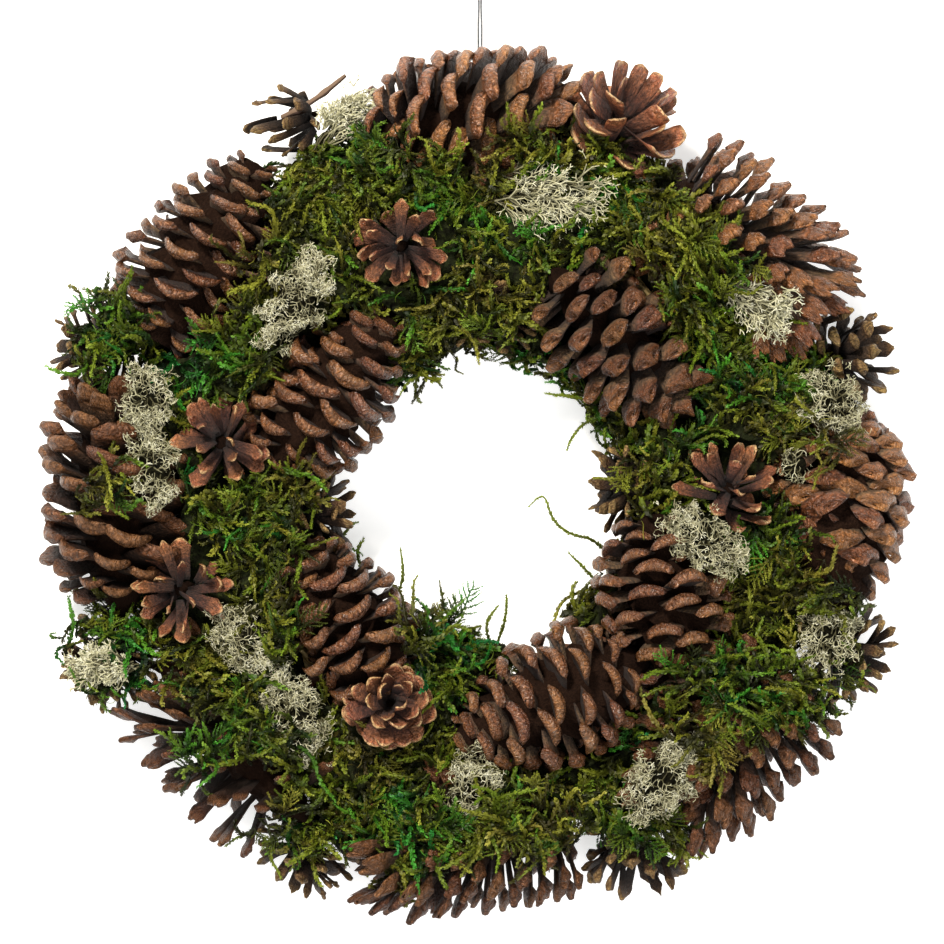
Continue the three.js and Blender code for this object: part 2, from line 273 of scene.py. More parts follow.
def grid_faces(rows: int, columns: int) -> tuple[Array, Array]:
    """Faces of a grid of points that closes round its columns.

    Args:
        rows: Number of rows of points.
        columns: Number of points in a row.

    Returns:
        Numbers of each face's points, (faces, 4), and its map places, u round the rows and v across them.
    """
    row, side = np.meshgrid(np.arange(rows - 1), np.arange(columns), indexing="ij")
    low, high, after = row * columns, (row + 1) * columns, (side + 1) % columns
    faces = np.stack([low + side, low + after, high + after, high + side], -1)
    u = np.stack([side, side + 1, side + 1, side], -1) / columns
    v = np.stack([row, row, row + 1, row + 1], -1) / (rows - 1)
    return faces.reshape(-1, 4), np.stack([u, v], -1).reshape(-1, 4, 2)


def sweep(path: Array, radius: Array, sides: int) -> Shape:
    """A round tube along a path, closed at both ends.

    Args:
        path: Points of its centre line, (n, 3).
        radius: Its radius at each point, (n,).
        sides: Number of sides.

    Returns:
        The tube, whose map places run round in u and along in v.
    """
    steps = len(path)
    tangent = unit(np.gradient(path, axis=0))
    across = np.empty_like(path)
    guess = np.eye(3)[np.abs(tangent[0]).argmin()]
    for i in range(steps):
        guess = guess - tangent[i] * (guess @ tangent[i])
        guess = guess / np.linalg.norm(guess)
        across[i] = guess
    other = np.cross(tangent, across)
    turn = 2 * np.pi * np.arange(sides) / sides
    ring = np.cos(turn)[None, :, None] * across[:, None] + np.sin(turn)[None, :, None] * other[:, None]
    points = (path[:, None] + ring * np.asarray(radius)[:, None, None]).reshape(-1, 3)
    points = np.vstack([points, path[:1], path[-1:]])
    faces, places = grid_faces(steps, sides)
    caps, spots = [], []
    for start, centre, v in ((0, steps * sides, 0.0), ((steps - 1) * sides, steps * sides + 1, 1.0)):
        inward = v - 0.02 * (2 * v - 1)
        for k in range(0, sides, 2):
            trio = [start + k, start + (k + 1) % sides, start + (k + 2) % sides]
            caps.append([centre, *(trio if v else trio[::-1])])
            spots.append([[0.5, v], [0.4, inward], [0.5, inward], [0.6, inward]])
    return Shape(points, np.vstack([faces, caps]), np.concatenate([places, spots]))


def waves(places: Array, length: float, seed: int) -> Array:
    """A smooth random field from a few sine waves.

    Args:
        places: Points, (..., 2) or (..., 3), in millimetres.
        length: About how long its swells are, in millimetres.
        seed: Number that picks the field.

    Returns:
        Its value at each point, about from -1 to 1.
    """
    rng = np.random.default_rng(seed)
    total = np.zeros(places.shape[:-1])
    for _ in range(6):
        way = unit(rng.normal(size=places.shape[-1])) * 2 * np.pi / (length * rng.uniform(0.7, 1.6))
        total += np.sin(places @ way + rng.uniform(0, 2 * np.pi))
    return total / 2.6


def read(profile: Profile, share: Array) -> Array:
    """The value of a profile, given as pairs of share and value, at each share, (n,)."""
    return np.interp(share, *zip(*profile, strict=True))


def on_line(line: Array, walk: Array, at: Array) -> Array:
    """Points, (n, 3), of a line whose corners are reached at the lengths walk, where its length is at."""
    return np.stack([np.interp(at, walk, line[:, k]) for k in range(3)], -1)


def turned(spots: Array, degrees: float) -> tuple[Array, Array]:
    """How far points of the plan lie along a direction, turned from X by degrees, and to its left."""
    a = math.radians(degrees)
    return spots @ [math.cos(a), math.sin(a)], spots @ [-math.sin(a), math.cos(a)]


# ---------------------------------------------------------------- finishes


@dataclass(frozen=True)
class Finish:
    """The finish of one real material. Each kind of finish joins up its own nodes."""

    name: str

    def surface(self, node: AddNode) -> Socket:
        """Joins up the nodes of the material.

        Args:
            node: Adds a node to the material and gives its output.

        Returns:
            The shader.
        """
        raise NotImplementedError

    def make(self) -> Material:
        """Makes the material.

        Returns:
            The material, which is named for what the real one is.
        """
        material = bpy.data.materials.new(self.name)
        material.use_nodes = True
        tree = material.node_tree
        tree.nodes.clear()
        add_node(tree, "OutputMaterial", {"Surface": self.surface(partial(add_node, tree))})
        return material


@dataclass(frozen=True)
class ScaleWoodFinish(Finish):
    """Woody scale of a ripe cone, opened by drying.

    The thick end is reddish, resin-glossed and warty, and the thin blade behind it goes grey-brown and then
    almost black toward its root, partly the wood's own darker inner face and partly painted shade, so a cone
    reads as bright lips over deep dark gaps. The fibres are drawn coarser than the real ones, so that they
    show.
    """

    # The near-black colour at a scale's root is partly the wood's own and partly painted shade.
    cavity: str = "#241811"
    blade: str = "#2d1c13"
    flank: str = "#341f14"
    strap: str = "#584029"
    lip: str = "#623920"
    rim: str = "#724829"
    umbo: str = "#59361f"
    # Pale specks on the lips: partly dust, partly painted glints.
    dust_and_glint: str = "#d0ab8c"
    dust_and_glint_share: float = 0.4
    gloss: float = 0.1
    matt: float = 0.42
    shine: float = 0.5
    width_mm: float = 19.0
    length_mm: float = 27.0
    wart_mm: float = 1.3
    granule_mm: float = 1.5
    grain_mm: float = 0.6
    fibre_mm: tuple[float, float] = (0.625, 6.25)
    relief_mm: float = 1.6

    def surface(self, node: AddNode) -> Socket:
        """Joins up the nodes, which read one of fifteen scale patterns from the piece's own map.

        Args:
            node: Adds a node to the material and gives its output.

        Returns:
            The shader.
        """
        uv = node("UVMap", uv_map=BAKE_MAP)
        sheet = node("VectorMath", {0: uv, 1: (SHEET_SIDE, SHEET_SIDE, 1)}, operation="MULTIPLY")
        cell = node("VectorMath", {0: sheet}, operation="FLOOR")
        spot = node("VectorMath", {0: sheet}, operation="FRACTION")
        parts = node("SeparateXYZ", {0: spot}).node.outputs
        chance = node("TexWhiteNoise", {"Vector": cell}, out="Value", noise_dimensions="2D")
        shift = node("VectorMath", {0: cell, "Scale": TILE_SHIFT_MM}, operation="SCALE")
        size = (2 * self.width_mm, self.length_mm, 0)
        place = node("VectorMath", {0: spot, 1: size, 2: shift}, operation="MULTIPLY_ADD")
        thin, long = self.fibre_mm
        streak = node("VectorMath", {0: place, 1: (1 / thin, 1 / long, 1)}, operation="MULTIPLY")
        rate = 1 / self.wart_mm
        wart = node("TexNoise", {"Vector": place, "Scale": rate, "Detail": 3.0, "Roughness": 0.6})
        grain = node("TexNoise", {"Vector": place, "Scale": 1 / self.grain_mm, "Detail": 2.0})
        granule = node("TexVoronoi", {"Vector": place, "Scale": 1 / self.granule_mm, "Randomness": 1.0})
        fibre = node("TexNoise", {"Vector": streak, "Scale": 1.0, "Detail": 2.0})

        # From the dark gap at its root out to its lip, which ends along a wavy line. The dark toward the
        # root is partly the wood's own and partly painted shade.
        wander = node("Math", {0: wart, 1: 0.16, 2: -0.08}, operation="MULTIPLY_ADD")
        reach = node("Math", {0: parts["Y"], 1: wander}, operation="ADD")
        top = ((0.0, self.cavity), (0.5, self.blade), (0.78, self.flank), (0.9, self.lip), (1.0, self.rim))
        inner = ((0.0, self.cavity), (0.32, self.blade), (0.64, self.strap))
        outer = ((0.8, self.lip), (0.885, self.umbo), (0.93, self.lip), (1.0, self.rim))
        upper = node("ValToRGB", {0: reach}, top)
        under = node("ValToRGB", {0: reach}, inner + outer)
        below = node("Math", {0: parts["X"], 1: 0.5}, operation="GREATER_THAN")
        wood = node("Mix", {0: below, 6: upper, 7: under}, out=2, data_type="RGBA")

        # Each pattern lightens and darkens the wood, lighter where it raises the bump and darker in its
        # pits, which is partly the wood's own mottle and partly painted shade and highlight. No two scales
        # are quite as light or as red.
        light = node("Math", {0: fibre, 1: 0.9, 2: 0.5}, operation="MULTIPLY_ADD")
        share = node("Math", {0: chance, 1: 0.45, 2: 0.85}, operation="MULTIPLY_ADD")
        light = node("Math", {0: light, 1: share}, operation="MULTIPLY")
        for pattern, low, high, first, last in (
            (wart, 0.36, 0.64, 0.72, 1.2),
            (granule, 0.1, 0.75, 1.25, 0.6),
            (grain, 0.38, 0.62, 0.78, 1.2),
        ):
            span = {"Value": pattern, "From Min": low, "From Max": high, "To Min": first, "To Max": last}
            light = node("Math", {0: light, 1: node("MapRange", span)}, operation="MULTIPLY")
        tint = node("Math", {0: chance, 1: 0.016, 2: 0.493}, operation="MULTIPLY_ADD")
        toned = node("HueSaturation", {"Hue": tint, "Saturation": 1.0, "Value": light, "Color": wood})

        # Pale specks on the lip, partly dust and worn skin and partly painted glints where light would catch
        # the resin.
        dust_and_glint_mask = node("MapRange", {"Value": parts["Y"], "From Min": 0.8, "From Max": 1.0})
        for pattern, low, high, most in ((grain, 0.52, 0.66, self.dust_and_glint_share), (wart, 0.5, 0.62, 1.0)):
            span = {"Value": pattern, "From Min": low, "From Max": high, "To Max": most}
            dust_and_glint_mask = node("Math", {0: dust_and_glint_mask, 1: node("MapRange", span)}, operation="MULTIPLY")
        colour = node("Mix", {0: dust_and_glint_mask, 6: toned, 7: linear(self.dust_and_glint)}, out=2, data_type="RGBA")

        # Resin gloss on the lip and dull wood behind it.
        low, high = self.gloss, self.matt
        span = {"Value": grain, "From Min": 0.35, "From Max": 0.65, "To Min": low, "To Max": high}
        resin = node("MapRange", span)
        span = {"Value": reach, "From Min": 0.6, "From Max": 0.82, "To Min": 1.0, "To Max": 0.0}
        rough = node("Mix", {0: node("MapRange", span), 2: resin, 3: 0.9})
        height = wart
        for pattern, weight in ((granule, -0.45), (grain, 0.3), (fibre, 0.4)):
            height = node("Math", {0: pattern, 1: weight, 2: height}, operation="MULTIPLY_ADD")
        bump = node("Bump", {"Strength": 1.0, "Distance": self.relief_mm * MM, "Height": height})
        skin = {"Base Color": colour, "Roughness": rough, "Normal": bump}
        return node("BsdfPrincipled", {**skin, "IOR": 1.5, "Specular IOR Level": self.shine})


@dataclass(frozen=True)
class StrandFinish(Finish):
    """Fine growing strands, coloured by kind across the map and from root to tip along it.

    On the map u from 0 to 0.5 picks the kind of shoot and v runs from the shaded root to the lit tip, so the
    cushion goes dark between its shoots and shows patches of different greens. The rate says how many flecks
    lie across the map and along it.
    """

    kinds: Stops = ()
    roots: Stops = ()
    roughness: float = 0.6
    shine: float = 0.3
    rate: tuple[float, float, float] = (160.0, 14.0, 1.0)

    def surface(self, node: AddNode) -> Socket:
        """Joins up the nodes.

        Args:
            node: Adds a node to the material and gives its output.

        Returns:
            The shader.
        """
        uv = node("UVMap", uv_map=BAKE_MAP)
        parts = node("SeparateXYZ", {0: uv}).node.outputs
        kind = node("Math", {0: parts["X"], 1: 2.0}, operation="MULTIPLY")
        hue = node("ValToRGB", {0: kind}, self.kinds)
        shade = node("ValToRGB", {0: parts["Y"]}, self.roots)
        colour = node("Mix", {0: 1.0, 6: hue, 7: shade}, out=2, data_type="RGBA", blend_type="MULTIPLY")
        stretched = node("VectorMath", {0: uv, 1: self.rate}, operation="MULTIPLY")
        fleck = node("TexNoise", {"Vector": stretched, "Scale": 1.0, "Detail": 2.0})
        value = node("Math", {0: fleck, 1: 1.1, 2: 0.5}, operation="MULTIPLY_ADD")
        toned = node("HueSaturation", {"Hue": 0.5, "Saturation": 1.0, "Value": value, "Color": colour})
        low, high = self.roughness - 0.12, self.roughness + 0.12
        rough = node("MapRange", {"Value": fleck, "To Min": low, "To Max": high})
        skin = {"Base Color": toned, "Roughness": rough}
        return node("BsdfPrincipled", {**skin, "IOR": 1.45, "Specular IOR Level": self.shine})


@dataclass(frozen=True)
class MatFinish(Finish):
    """Matted old growth and litter under living shoots, felted by their own decay: dull, uneven and near
    black, which is painted shade, darkest in the pits of its bump.
    """

    dark: str = "#0e0d08"
    mid: str = "#1d2110"
    light: str = "#33381a"
    clump_mm: float = 3.0
    relief_mm: float = 2.0

    def surface(self, node: AddNode) -> Socket:
        """Joins up the nodes, which read the half of the map from u 0.5 to 1.

        Args:
            node: Adds a node to the material and gives its output.

        Returns:
            The shader.
        """
        uv = node("UVMap", uv_map=BAKE_MAP)
        plan = node("VectorMath", {0: uv, 1: (PLAN_WIDE, PLAN_HIGH, 1)}, operation="MULTIPLY")
        scale = 1 / self.clump_mm
        clump = node("TexNoise", {"Vector": plan, "Scale": scale, "Detail": 4.0, "Roughness": 0.7})
        colour = node("ValToRGB", {0: clump}, ((0.35, self.dark), (0.55, self.mid), (0.72, self.light)))
        bump = node("Bump", {"Strength": 1.0, "Distance": self.relief_mm * MM, "Height": clump})
        skin = {"Base Color": colour, "Roughness": 0.9, "Normal": bump}
        return node("BsdfPrincipled", {**skin, "Specular IOR Level": 0.05})


@dataclass(frozen=True)
class StalkFinish(Finish):
    """Cut and dried stalk or peeled bark, ribbed along its length.

    The ribs run along v and give long soft highlights. Each stalk has its own stripe of the map, so its
    colour is its own.
    """

    pale: str = "#b39a63"
    mid: str = "#86703f"
    dark: str = "#4a3a20"
    stripes: int = 24
    ribs: float = 9.0
    relief_mm: float = 0.3
    roughness: float = 0.5

    def surface(self, node: AddNode) -> Socket:
        """Joins up the nodes.

        Args:
            node: Adds a node to the material and gives its output.

        Returns:
            The shader.
        """
        uv = node("UVMap", uv_map=BAKE_MAP)
        wide = node("VectorMath", {0: uv, 1: (self.stripes, 1, 1)}, operation="MULTIPLY")
        cell = node("VectorMath", {0: wide, 1: (1, 4, 1)}, operation="SNAP")
        chance = node("TexWhiteNoise", {"Vector": cell}, out="Value", noise_dimensions="2D")
        place = node("VectorMath", {0: uv, 1: (self.stripes * self.ribs, 7.0, 1)}, operation="MULTIPLY")
        rib = node("TexNoise", {"Vector": place, "Scale": 1.0, "Detail": 3.0})
        mixed = node("Math", {0: chance, 1: 0.55, 2: rib}, operation="MULTIPLY_ADD")
        colour = node("ValToRGB", {0: mixed}, ((0.3, self.dark), (0.7, self.mid), (1.0, self.pale)))
        bump = node("Bump", {"Strength": 0.5, "Distance": self.relief_mm * MM, "Height": rib})
        low, high = self.roughness - 0.1, self.roughness + 0.2
        rough = node("MapRange", {"Value": rib, "To Min": low, "To Max": high})
        return node("BsdfPrincipled", {"Base Color": colour, "Roughness": rough, "Normal": bump, "IOR": 1.5})


@dataclass(frozen=True)
class DrawnWireFinish(Finish):
    """Thin steel wire, drawn through a die: its fine lines spread the highlight into a soft grey streak.

    The drawing lines are far finer than a pixel, so they are drawn 0.6 mm apart.
    """

    name: str = "drawn steel wire"
    colour: str = "#86888b"
    dull: str = "#5d5f62"
    line_mm: float = 0.6

    def surface(self, node: AddNode) -> Socket:
        """Joins up the nodes.

        Args:
            node: Adds a node to the material and gives its output.

        Returns:
            The shader.
        """
        place = node("TexCoord", out="Object")
        spread = node("VectorMath", {0: place, "Scale": 1 / MM}, operation="SCALE")
        lines = node("TexNoise", {"Vector": spread, "Scale": 1 / self.line_mm, "Detail": 2.0})
        colour = node("ValToRGB", {0: lines}, ((0.35, self.dull), (0.65, self.colour)))
        rough = node("MapRange", {"Value": lines, "To Min": 0.28, "To Max": 0.5})
        return node("BsdfPrincipled", {"Base Color": colour, "Roughness": rough, "Metallic": 1.0})


@dataclass(frozen=True)
class BackdropFinish(Finish):
    """White opal sheet of a light table, lit softly from below, so that shadows on it stay faint."""

    name: str = "opal light table sheet"
    colour: str = "#ececea"
    shade: str = "#e6e6e5"
    fleck_mm: float = 40.0
    glow: float = 0.7

    def surface(self, node: AddNode) -> Socket:
        """Joins up the nodes.

        Args:
            node: Adds a node to the material and gives its output.

        Returns:
            The shader.
        """
        place = node("TexCoord", out="Object")
        cloud = node("TexNoise", {"Vector": place, "Scale": 1 / MM / self.fleck_mm, "Detail": 2.0})
        colour = node("ValToRGB", {0: cloud}, ((0.3, self.shade), (0.7, self.colour)))
        skin = {"Base Color": colour, "Roughness": 0.9, "Specular IOR Level": 0.1}
        return node("BsdfPrincipled", {**skin, "Emission Color": colour, "Emission Strength": self.glow})


# Resin that dried on the thick ends makes them shine like varnish.
LARGE_SCALE_WOOD = ScaleWoodFinish("dried pine scale wood, resin glossed")
# A copy of the scale wood whose ends are paler and redder, for the cones at the top and right.
PALE_SCALE_WOOD = replace(
    LARGE_SCALE_WOOD, name="dried pine scale wood, paler",
    lip="#7a4a2a", rim="#8b5a35", umbo="#653f26",
)
# A darker copy of the scale wood with painted shade, for the cones on the lower and left side of the wreath,
# and with little gloss.
SHADED_SCALE_WOOD = replace(
    LARGE_SCALE_WOOD, name="dried pine scale wood, painted shade", dust_and_glint_share=0.2, matt=0.55, shine=0.2,
    blade="#22160f", flank="#38231a", strap="#3b291d", lip="#583723", rim="#68432b",
)
# This wood is nearly black, with dull and pale ends.
SMALL_SCALE_WOOD = ScaleWoodFinish(
    "dried pine scale wood, dark", dust_and_glint="#b09a66", dust_and_glint_share=0.6, gloss=0.4, matt=0.6, shine=0.25,
    cavity="#120b08", blade="#1d140f", flank="#35251a", strap="#3a2a1e", lip="#5c4229", rim="#957748",
    umbo="#7d6440", width_mm=8.5, length_mm=15.0, wart_mm=0.9, granule_mm=0.9, grain_mm=0.35,
)
# These scales have dried smooth, red-brown, with pale rims that catch the light.
ROSETTE_SCALE_WOOD = ScaleWoodFinish(
    "dried pine scale wood, smooth", dust_and_glint="#c8ad7c", dust_and_glint_share=0.3, gloss=0.24, matt=0.6,
    cavity="#160a06", blade="#462417", flank="#7f4b2e", strap="#7a4a31", lip="#98583a", rim="#c3a272",
    umbo="#8d5838", width_mm=10.0, length_mm=20.0, wart_mm=2.0, granule_mm=1.6, grain_mm=0.5,
)
# The shoots darken from the tips down to near black at the roots: partly browner old growth, mostly painted
# shade between the shoots.
MOSS = StrandFinish(
    "growing feather moss", roughness=0.55, shine=0.3,
    kinds=(
        (0.0, "#1d6e46"), (0.08, "#24883f"), (0.2, "#459528"), (0.36, "#6a871e"),
        (0.55, "#7f8a28"), (0.72, "#989a38"), (0.88, "#8e873e"), (1.0, "#6a5c31"),
    ),
    roots=((0.0, "#1d1b06"), (0.3, "#4c4920"), (0.66, "#b0ac84"), (1.0, "#f6f6f2")),
)
# Lichen dries to a chalky crust without gloss, pale grey over shaded roots.
LICHEN = StrandFinish(
    "dried reindeer lichen", roughness=0.8, shine=0.2,
    kinds=((0.0, "#bebd9f"), (0.35, "#d3d2ba"), (0.7, "#e5e4d1"), (1.0, "#c9cab3")),
    roots=((0.0, "#16140c"), (0.4, "#57533f"), (0.75, "#cfccb8"), (1.0, "#ffffff")),
)
# The cone's core is coloured near black, which is painted shade, and dull, so the gaps above it look deep.
CONE_HEART = MatFinish("seed scars and shaded wood", "#1a0f0a", "#261810", "#33231a", clump_mm=2.0)
# The mats under the moss and the lichen are near black: painted shade between the shoots and twigs.
MOSS_MAT = MatFinish("felted old moss in painted shade")
LICHEN_MAT = MatFinish("lichen base in painted shade", "#0b0a06", "#17160c", "#2b2917", clump_mm=1.6)
# Straw keeps the waxy gloss of its stalk, twisted paper is soft and bark is rough and dull.
STRAW = StalkFinish("cut and dried straw")
TWINE = StalkFinish("twisted paper twine", "#8f9a5c", "#6c7740", "#424a28", stripes=4)
BARK = StalkFinish("weathered twig bark", "#66503d", "#452f22", "#261a13", stripes=6, roughness=0.7)


# ---------------------------------------------------------------- cones


class ConeMake(Enum):
    """Which kind of cone stands at a place."""

    ROWS = "large cone with many scales that stand open in rows"
    LIPS = "large cone with fewer and thicker scales in rows"
    FACES = "large cone that shows the swollen outer ends of its scales"
    FANNED = "large cone whose thick scales lean toward its tip"
    STRAPS = "large cone whose scales fan out like straps"
    FINGERS = "large cone of which narrow dark scales with notched ends stick out"
    SHUT = "large cone that is half closed"
    EDGE = "small cone that points outward"
    BLADES = "small cone of which only a few thin scales show"
    SPOONS = "small cone with broad thin scales that face the viewer"
    STUBS = "small cone with short broad scales and wedge-shaped ends"
    ROSE = "small cone that faces the viewer, its rounded scales half open"
    ROSETTE = "small cone that faces the viewer"

    @property
    def large(self) -> bool:
        """Whether the cone is one of the large ones."""
        return self.value.startswith("large")


# The outline of an open cone, as shares of its length and radius, and the rows of points of a scale.
OUTLINE = ((0.0, 0.55), (0.24, 1.0), (0.56, 0.96), (0.84, 0.62), (1.0, 0.24))
BLADE_ROWS = (0.0, 0.22, 0.48, 0.72, 0.88, 0.97)
HOOD_ROWS = (0.0, 0.08, 0.22, 0.42, 0.62, 0.8, 0.92, 1.0)
NOSE_ROW = 1.012
SCALE_COLUMNS = 11
SCALE_SHAPES = 8
SCALE_TILES = SHEET_SIDE**2 - 1
SCALE_MM = 26.0
HEART_STEPS = 18
HEART_SIDES = 20
# The order of corners that turns a face over.
TURNED_OVER = (0, 3, 2, 1)
# A cone that rises less, in degrees, lies flat. Its scales under moss or lichen keep this share of length.
FACING_RISE = 30.0
BURIED_LENGTH = 0.66


@dataclass(frozen=True)
class ConeHabit:
    """How a kind of cone grows: its scales' number, sizes and how far they open from base to tip.

    The swollen end of a scale begins at its hood, a share of its length. The lip is its full thickness. The
    slant turns every scale the same way about its own length, and the twist is its scatter.
    """

    scales: int
    width: float
    lip: float
    blade: float
    waist: float
    cup: float
    droop: float
    core: float
    opening: Profile
    hood: float = 0.76
    arch: float = 0.12
    tip: float = 0.84
    umbo: float = 0.4
    keel: float = 0.3
    longest: float = 30.0
    notch: float = 0.01
    spread: float = 5.0
    twist: float = 8.0
    slant: float = 0.0
    vary: float = 0.08
    sizes: Profile = ((0.0, 0.6), (0.2, 0.9), (0.45, 1.0), (0.75, 0.88), (1.0, 0.5))
    outline: Profile = OUTLINE

    def rings(self, rng: Rng, seed: int) -> tuple[Array, Array]:
        """Works out the rings of points round a scale: a thin blade with a thick, cupped and warty lip.

        Args:
            rng: The source of chance.
            seed: Number that picks its warts.

        Returns:
            The points, (rows, around, 3), one long and one wide on each side, and where each row lies.
        """
        h, w = self.hood, self.waist
        rows = np.concatenate([h * np.array(BLADE_ROWS), h + (1 - h) * np.array(HOOD_ROWS), [NOSE_ROW]])
        past = (rows > 1)[:, None]
        s, side = np.meshgrid(np.minimum(rows, 1), np.linspace(-1, 1, SCALE_COLUMNS), indexing="ij")
        end = np.clip((s - h) / (1 - h), 0, 1)
        widths = (0.66 * w, 0.86 * w, w, (1 + w) / 2, 1, 1)
        half = np.interp(s, [0, 0.2, h * 0.7, h, h + 0.4 * (1 - h), 1], widths)
        half = half * (1 - (1 - self.tip) * np.clip((end - 0.45) / 0.55, 0, 1) ** 2)
        half = half * (1 + 0.04 * np.sin(5 * s + rng.uniform(0, 6)))
        bulge = 0.92 * (1 - np.abs(side) ** 2.4) ** 0.6 + 0.08
        nose = np.where(past, 0.25, 1.0)
        swell = self.lip - self.blade
        gain = 0.22 * np.clip((s - 0.4 * h) / (0.6 * h), 0, 1)
        above = np.interp(end, [0, 0.3, 0.7, 1], [0, 0.6, 1, 0.3])
        below = np.interp(end, [0, 0.02, 0.14, 0.4, 0.75, 1], [0, 0.2, 0.85, 1, 0.75, 0.2])
        over = self.blade / 2 + 0.38 * swell * np.maximum(gain, above)
        under = self.blade / 2 + 0.62 * swell * np.maximum(gain, below)
        umbo = self.umbo * np.exp(-((side / 0.24) ** 2) - ((end - 0.5) / 0.2) ** 2)
        keel = self.keel * np.exp(-(((end - 0.5) / 0.14) ** 2)) * (1 - side**2)
        spots = np.stack([side * half * self.width / 2, SCALE_MM * s], -1)
        warts = 0.2 * end * (waves(spots, 3.2, seed) + 0.6 * waves(spots, 1.9, seed + 1))
        middle = self.cup * rng.uniform(0.75, 1.25) * side**2 * (0.3 + 0.7 * end) * np.clip(s * 2, 0, 1)
        middle = middle - self.droop * s**2 + rng.normal(0, 0.4) * side * s + rng.normal(0, 0.3) * s
        x = side * half * np.where(past, 0.9, 1) + 0.05 * rng.normal() * s**2
        y = np.where(past, NOSE_ROW, rows[:, None]) * (1 - self.arch * side**2 * s**4)
        broad, fine = rng.uniform(0, 6), rng.uniform(0, 6)
        y = y + self.notch * end * (np.sin(5 * side + broad) + 0.6 * np.sin(11 * side + fine))
        top = np.stack([x, y, middle + over * bulge * nose + warts * 0.5], -1)
        bottom = np.stack([x, y, middle - (under * bulge + umbo + keel) * nose + warts], -1)
        return np.concatenate([top, bottom[:, -2:0:-1]], axis=1), rows

    def grow_scale(self, seed: int) -> Shape:
        """Grows one closed shape of scale, to be stretched to its size.

        Args:
            seed: Number that picks its quirks.

        Returns:
            The shape, whose map places fill one tile: upper face left, lower face right.
        """
        ring, rows = self.rings(np.random.default_rng(seed), seed)
        around, corner = ring.shape[1], SCALE_COLUMNS - 1
        q = np.linspace(-1, 1, SCALE_COLUMNS)
        tile_u = np.concatenate([0.02 + 0.23 * (q + 1), 0.52 + 0.23 * (1 - q[-2:0:-1])])
        left, right = tile_u.copy(), np.roll(tile_u, -1)
        left[corner], right[-1] = 0.52, 0.98
        low, high = np.split(0.02 + 0.95 * np.stack([rows[:-1], rows[1:]]) / NOSE_ROW, 2)
        v = np.stack([low, high, high, low], -1).reshape(-1, 1, 4)
        u = np.broadcast_to(np.stack([left, left, right, right], -1), (len(v), around, 4))
        faces = [*grid_faces(len(rows), around)[0][:, TURNED_OVER]]
        places = [*np.stack([u, np.broadcast_to(v, u.shape)], -1).reshape(-1, 4, 2)]
        for k in range(corner):
            low, high = (around - k) % around, (around - k - 1) % around
            for start, v, order in ((0, 0.0, 1), ((len(rows) - 1) * around, 0.98, -1)):
                face = [start + k, start + k + 1, start + high, start + low]
                if len(set(face)) == 4:
                    u0, u1 = tile_u[k], tile_u[k + 1]
                    faces.append(face[::order])
                    places.append([[u0, v], [u1, v], [u1, v + 0.015], [u0, v + 0.015]][::order])
        return Shape(ring.reshape(-1, 3), np.array(faces), np.array(places))


ROWS_HABIT = ConeHabit(
    scales=78, width=18.5, lip=4.4, blade=2.0, waist=0.86, cup=3.2, droop=1.2, core=0.56, hood=0.78,
    vary=0.12,
    opening=((0.0, 114), (0.3, 98), (0.6, 84), (0.85, 64), (1.0, 30)),
)
STRAPS_HABIT = ConeHabit(
    scales=120, width=12.0, lip=5.0, blade=2.0, waist=0.78, cup=0.8, droop=0.6, core=0.34, hood=0.72,
    arch=0.04, umbo=1.0, keel=0.8, longest=38.0, slant=12.0, notch=0.045, vary=0.12,
    opening=((0.0, 102), (0.3, 84), (0.6, 66), (0.85, 46), (1.0, 20)),
    sizes=((0.0, 0.8), (0.2, 0.95), (0.45, 1.0), (0.75, 0.95), (1.0, 0.7)),
    outline=((0.0, 0.85), (0.15, 1.03), (0.7, 1.1), (0.9, 1.0), (1.0, 0.78)),
)
EDGE_HABIT = ConeHabit(
    scales=40, width=8.0, lip=2.4, blade=1.5, waist=0.92, cup=0.7, droop=0.8, core=0.2, hood=0.8, arch=0.1,
    longest=20.0, notch=0.02, spread=11.0, twist=16.0, vary=0.2,
    opening=((0.0, 112), (0.3, 92), (0.6, 70), (0.85, 46), (1.0, 16)),
    sizes=((0.0, 0.8), (0.25, 1.0), (0.7, 0.9), (1.0, 0.6)),
    outline=((0.0, 0.8), (0.25, 1.15), (0.6, 1.1), (0.9, 0.8), (1.0, 0.4)),
)
ROSETTE_HABIT = ConeHabit(
    scales=21, width=7.8, lip=2.0, blade=1.0, waist=0.72, cup=1.3, droop=-2.4, core=0.12, hood=0.74,
    tip=0.74, umbo=0.3, longest=24.0, notch=0.004, spread=13.0, twist=24.0, vary=0.18,
    opening=((0.0, 102), (0.4, 84), (0.65, 58), (0.85, 30), (1.0, 8)),
    sizes=((0.0, 0.95), (0.3, 1.0), (0.6, 0.85), (1.0, 0.55)),
)
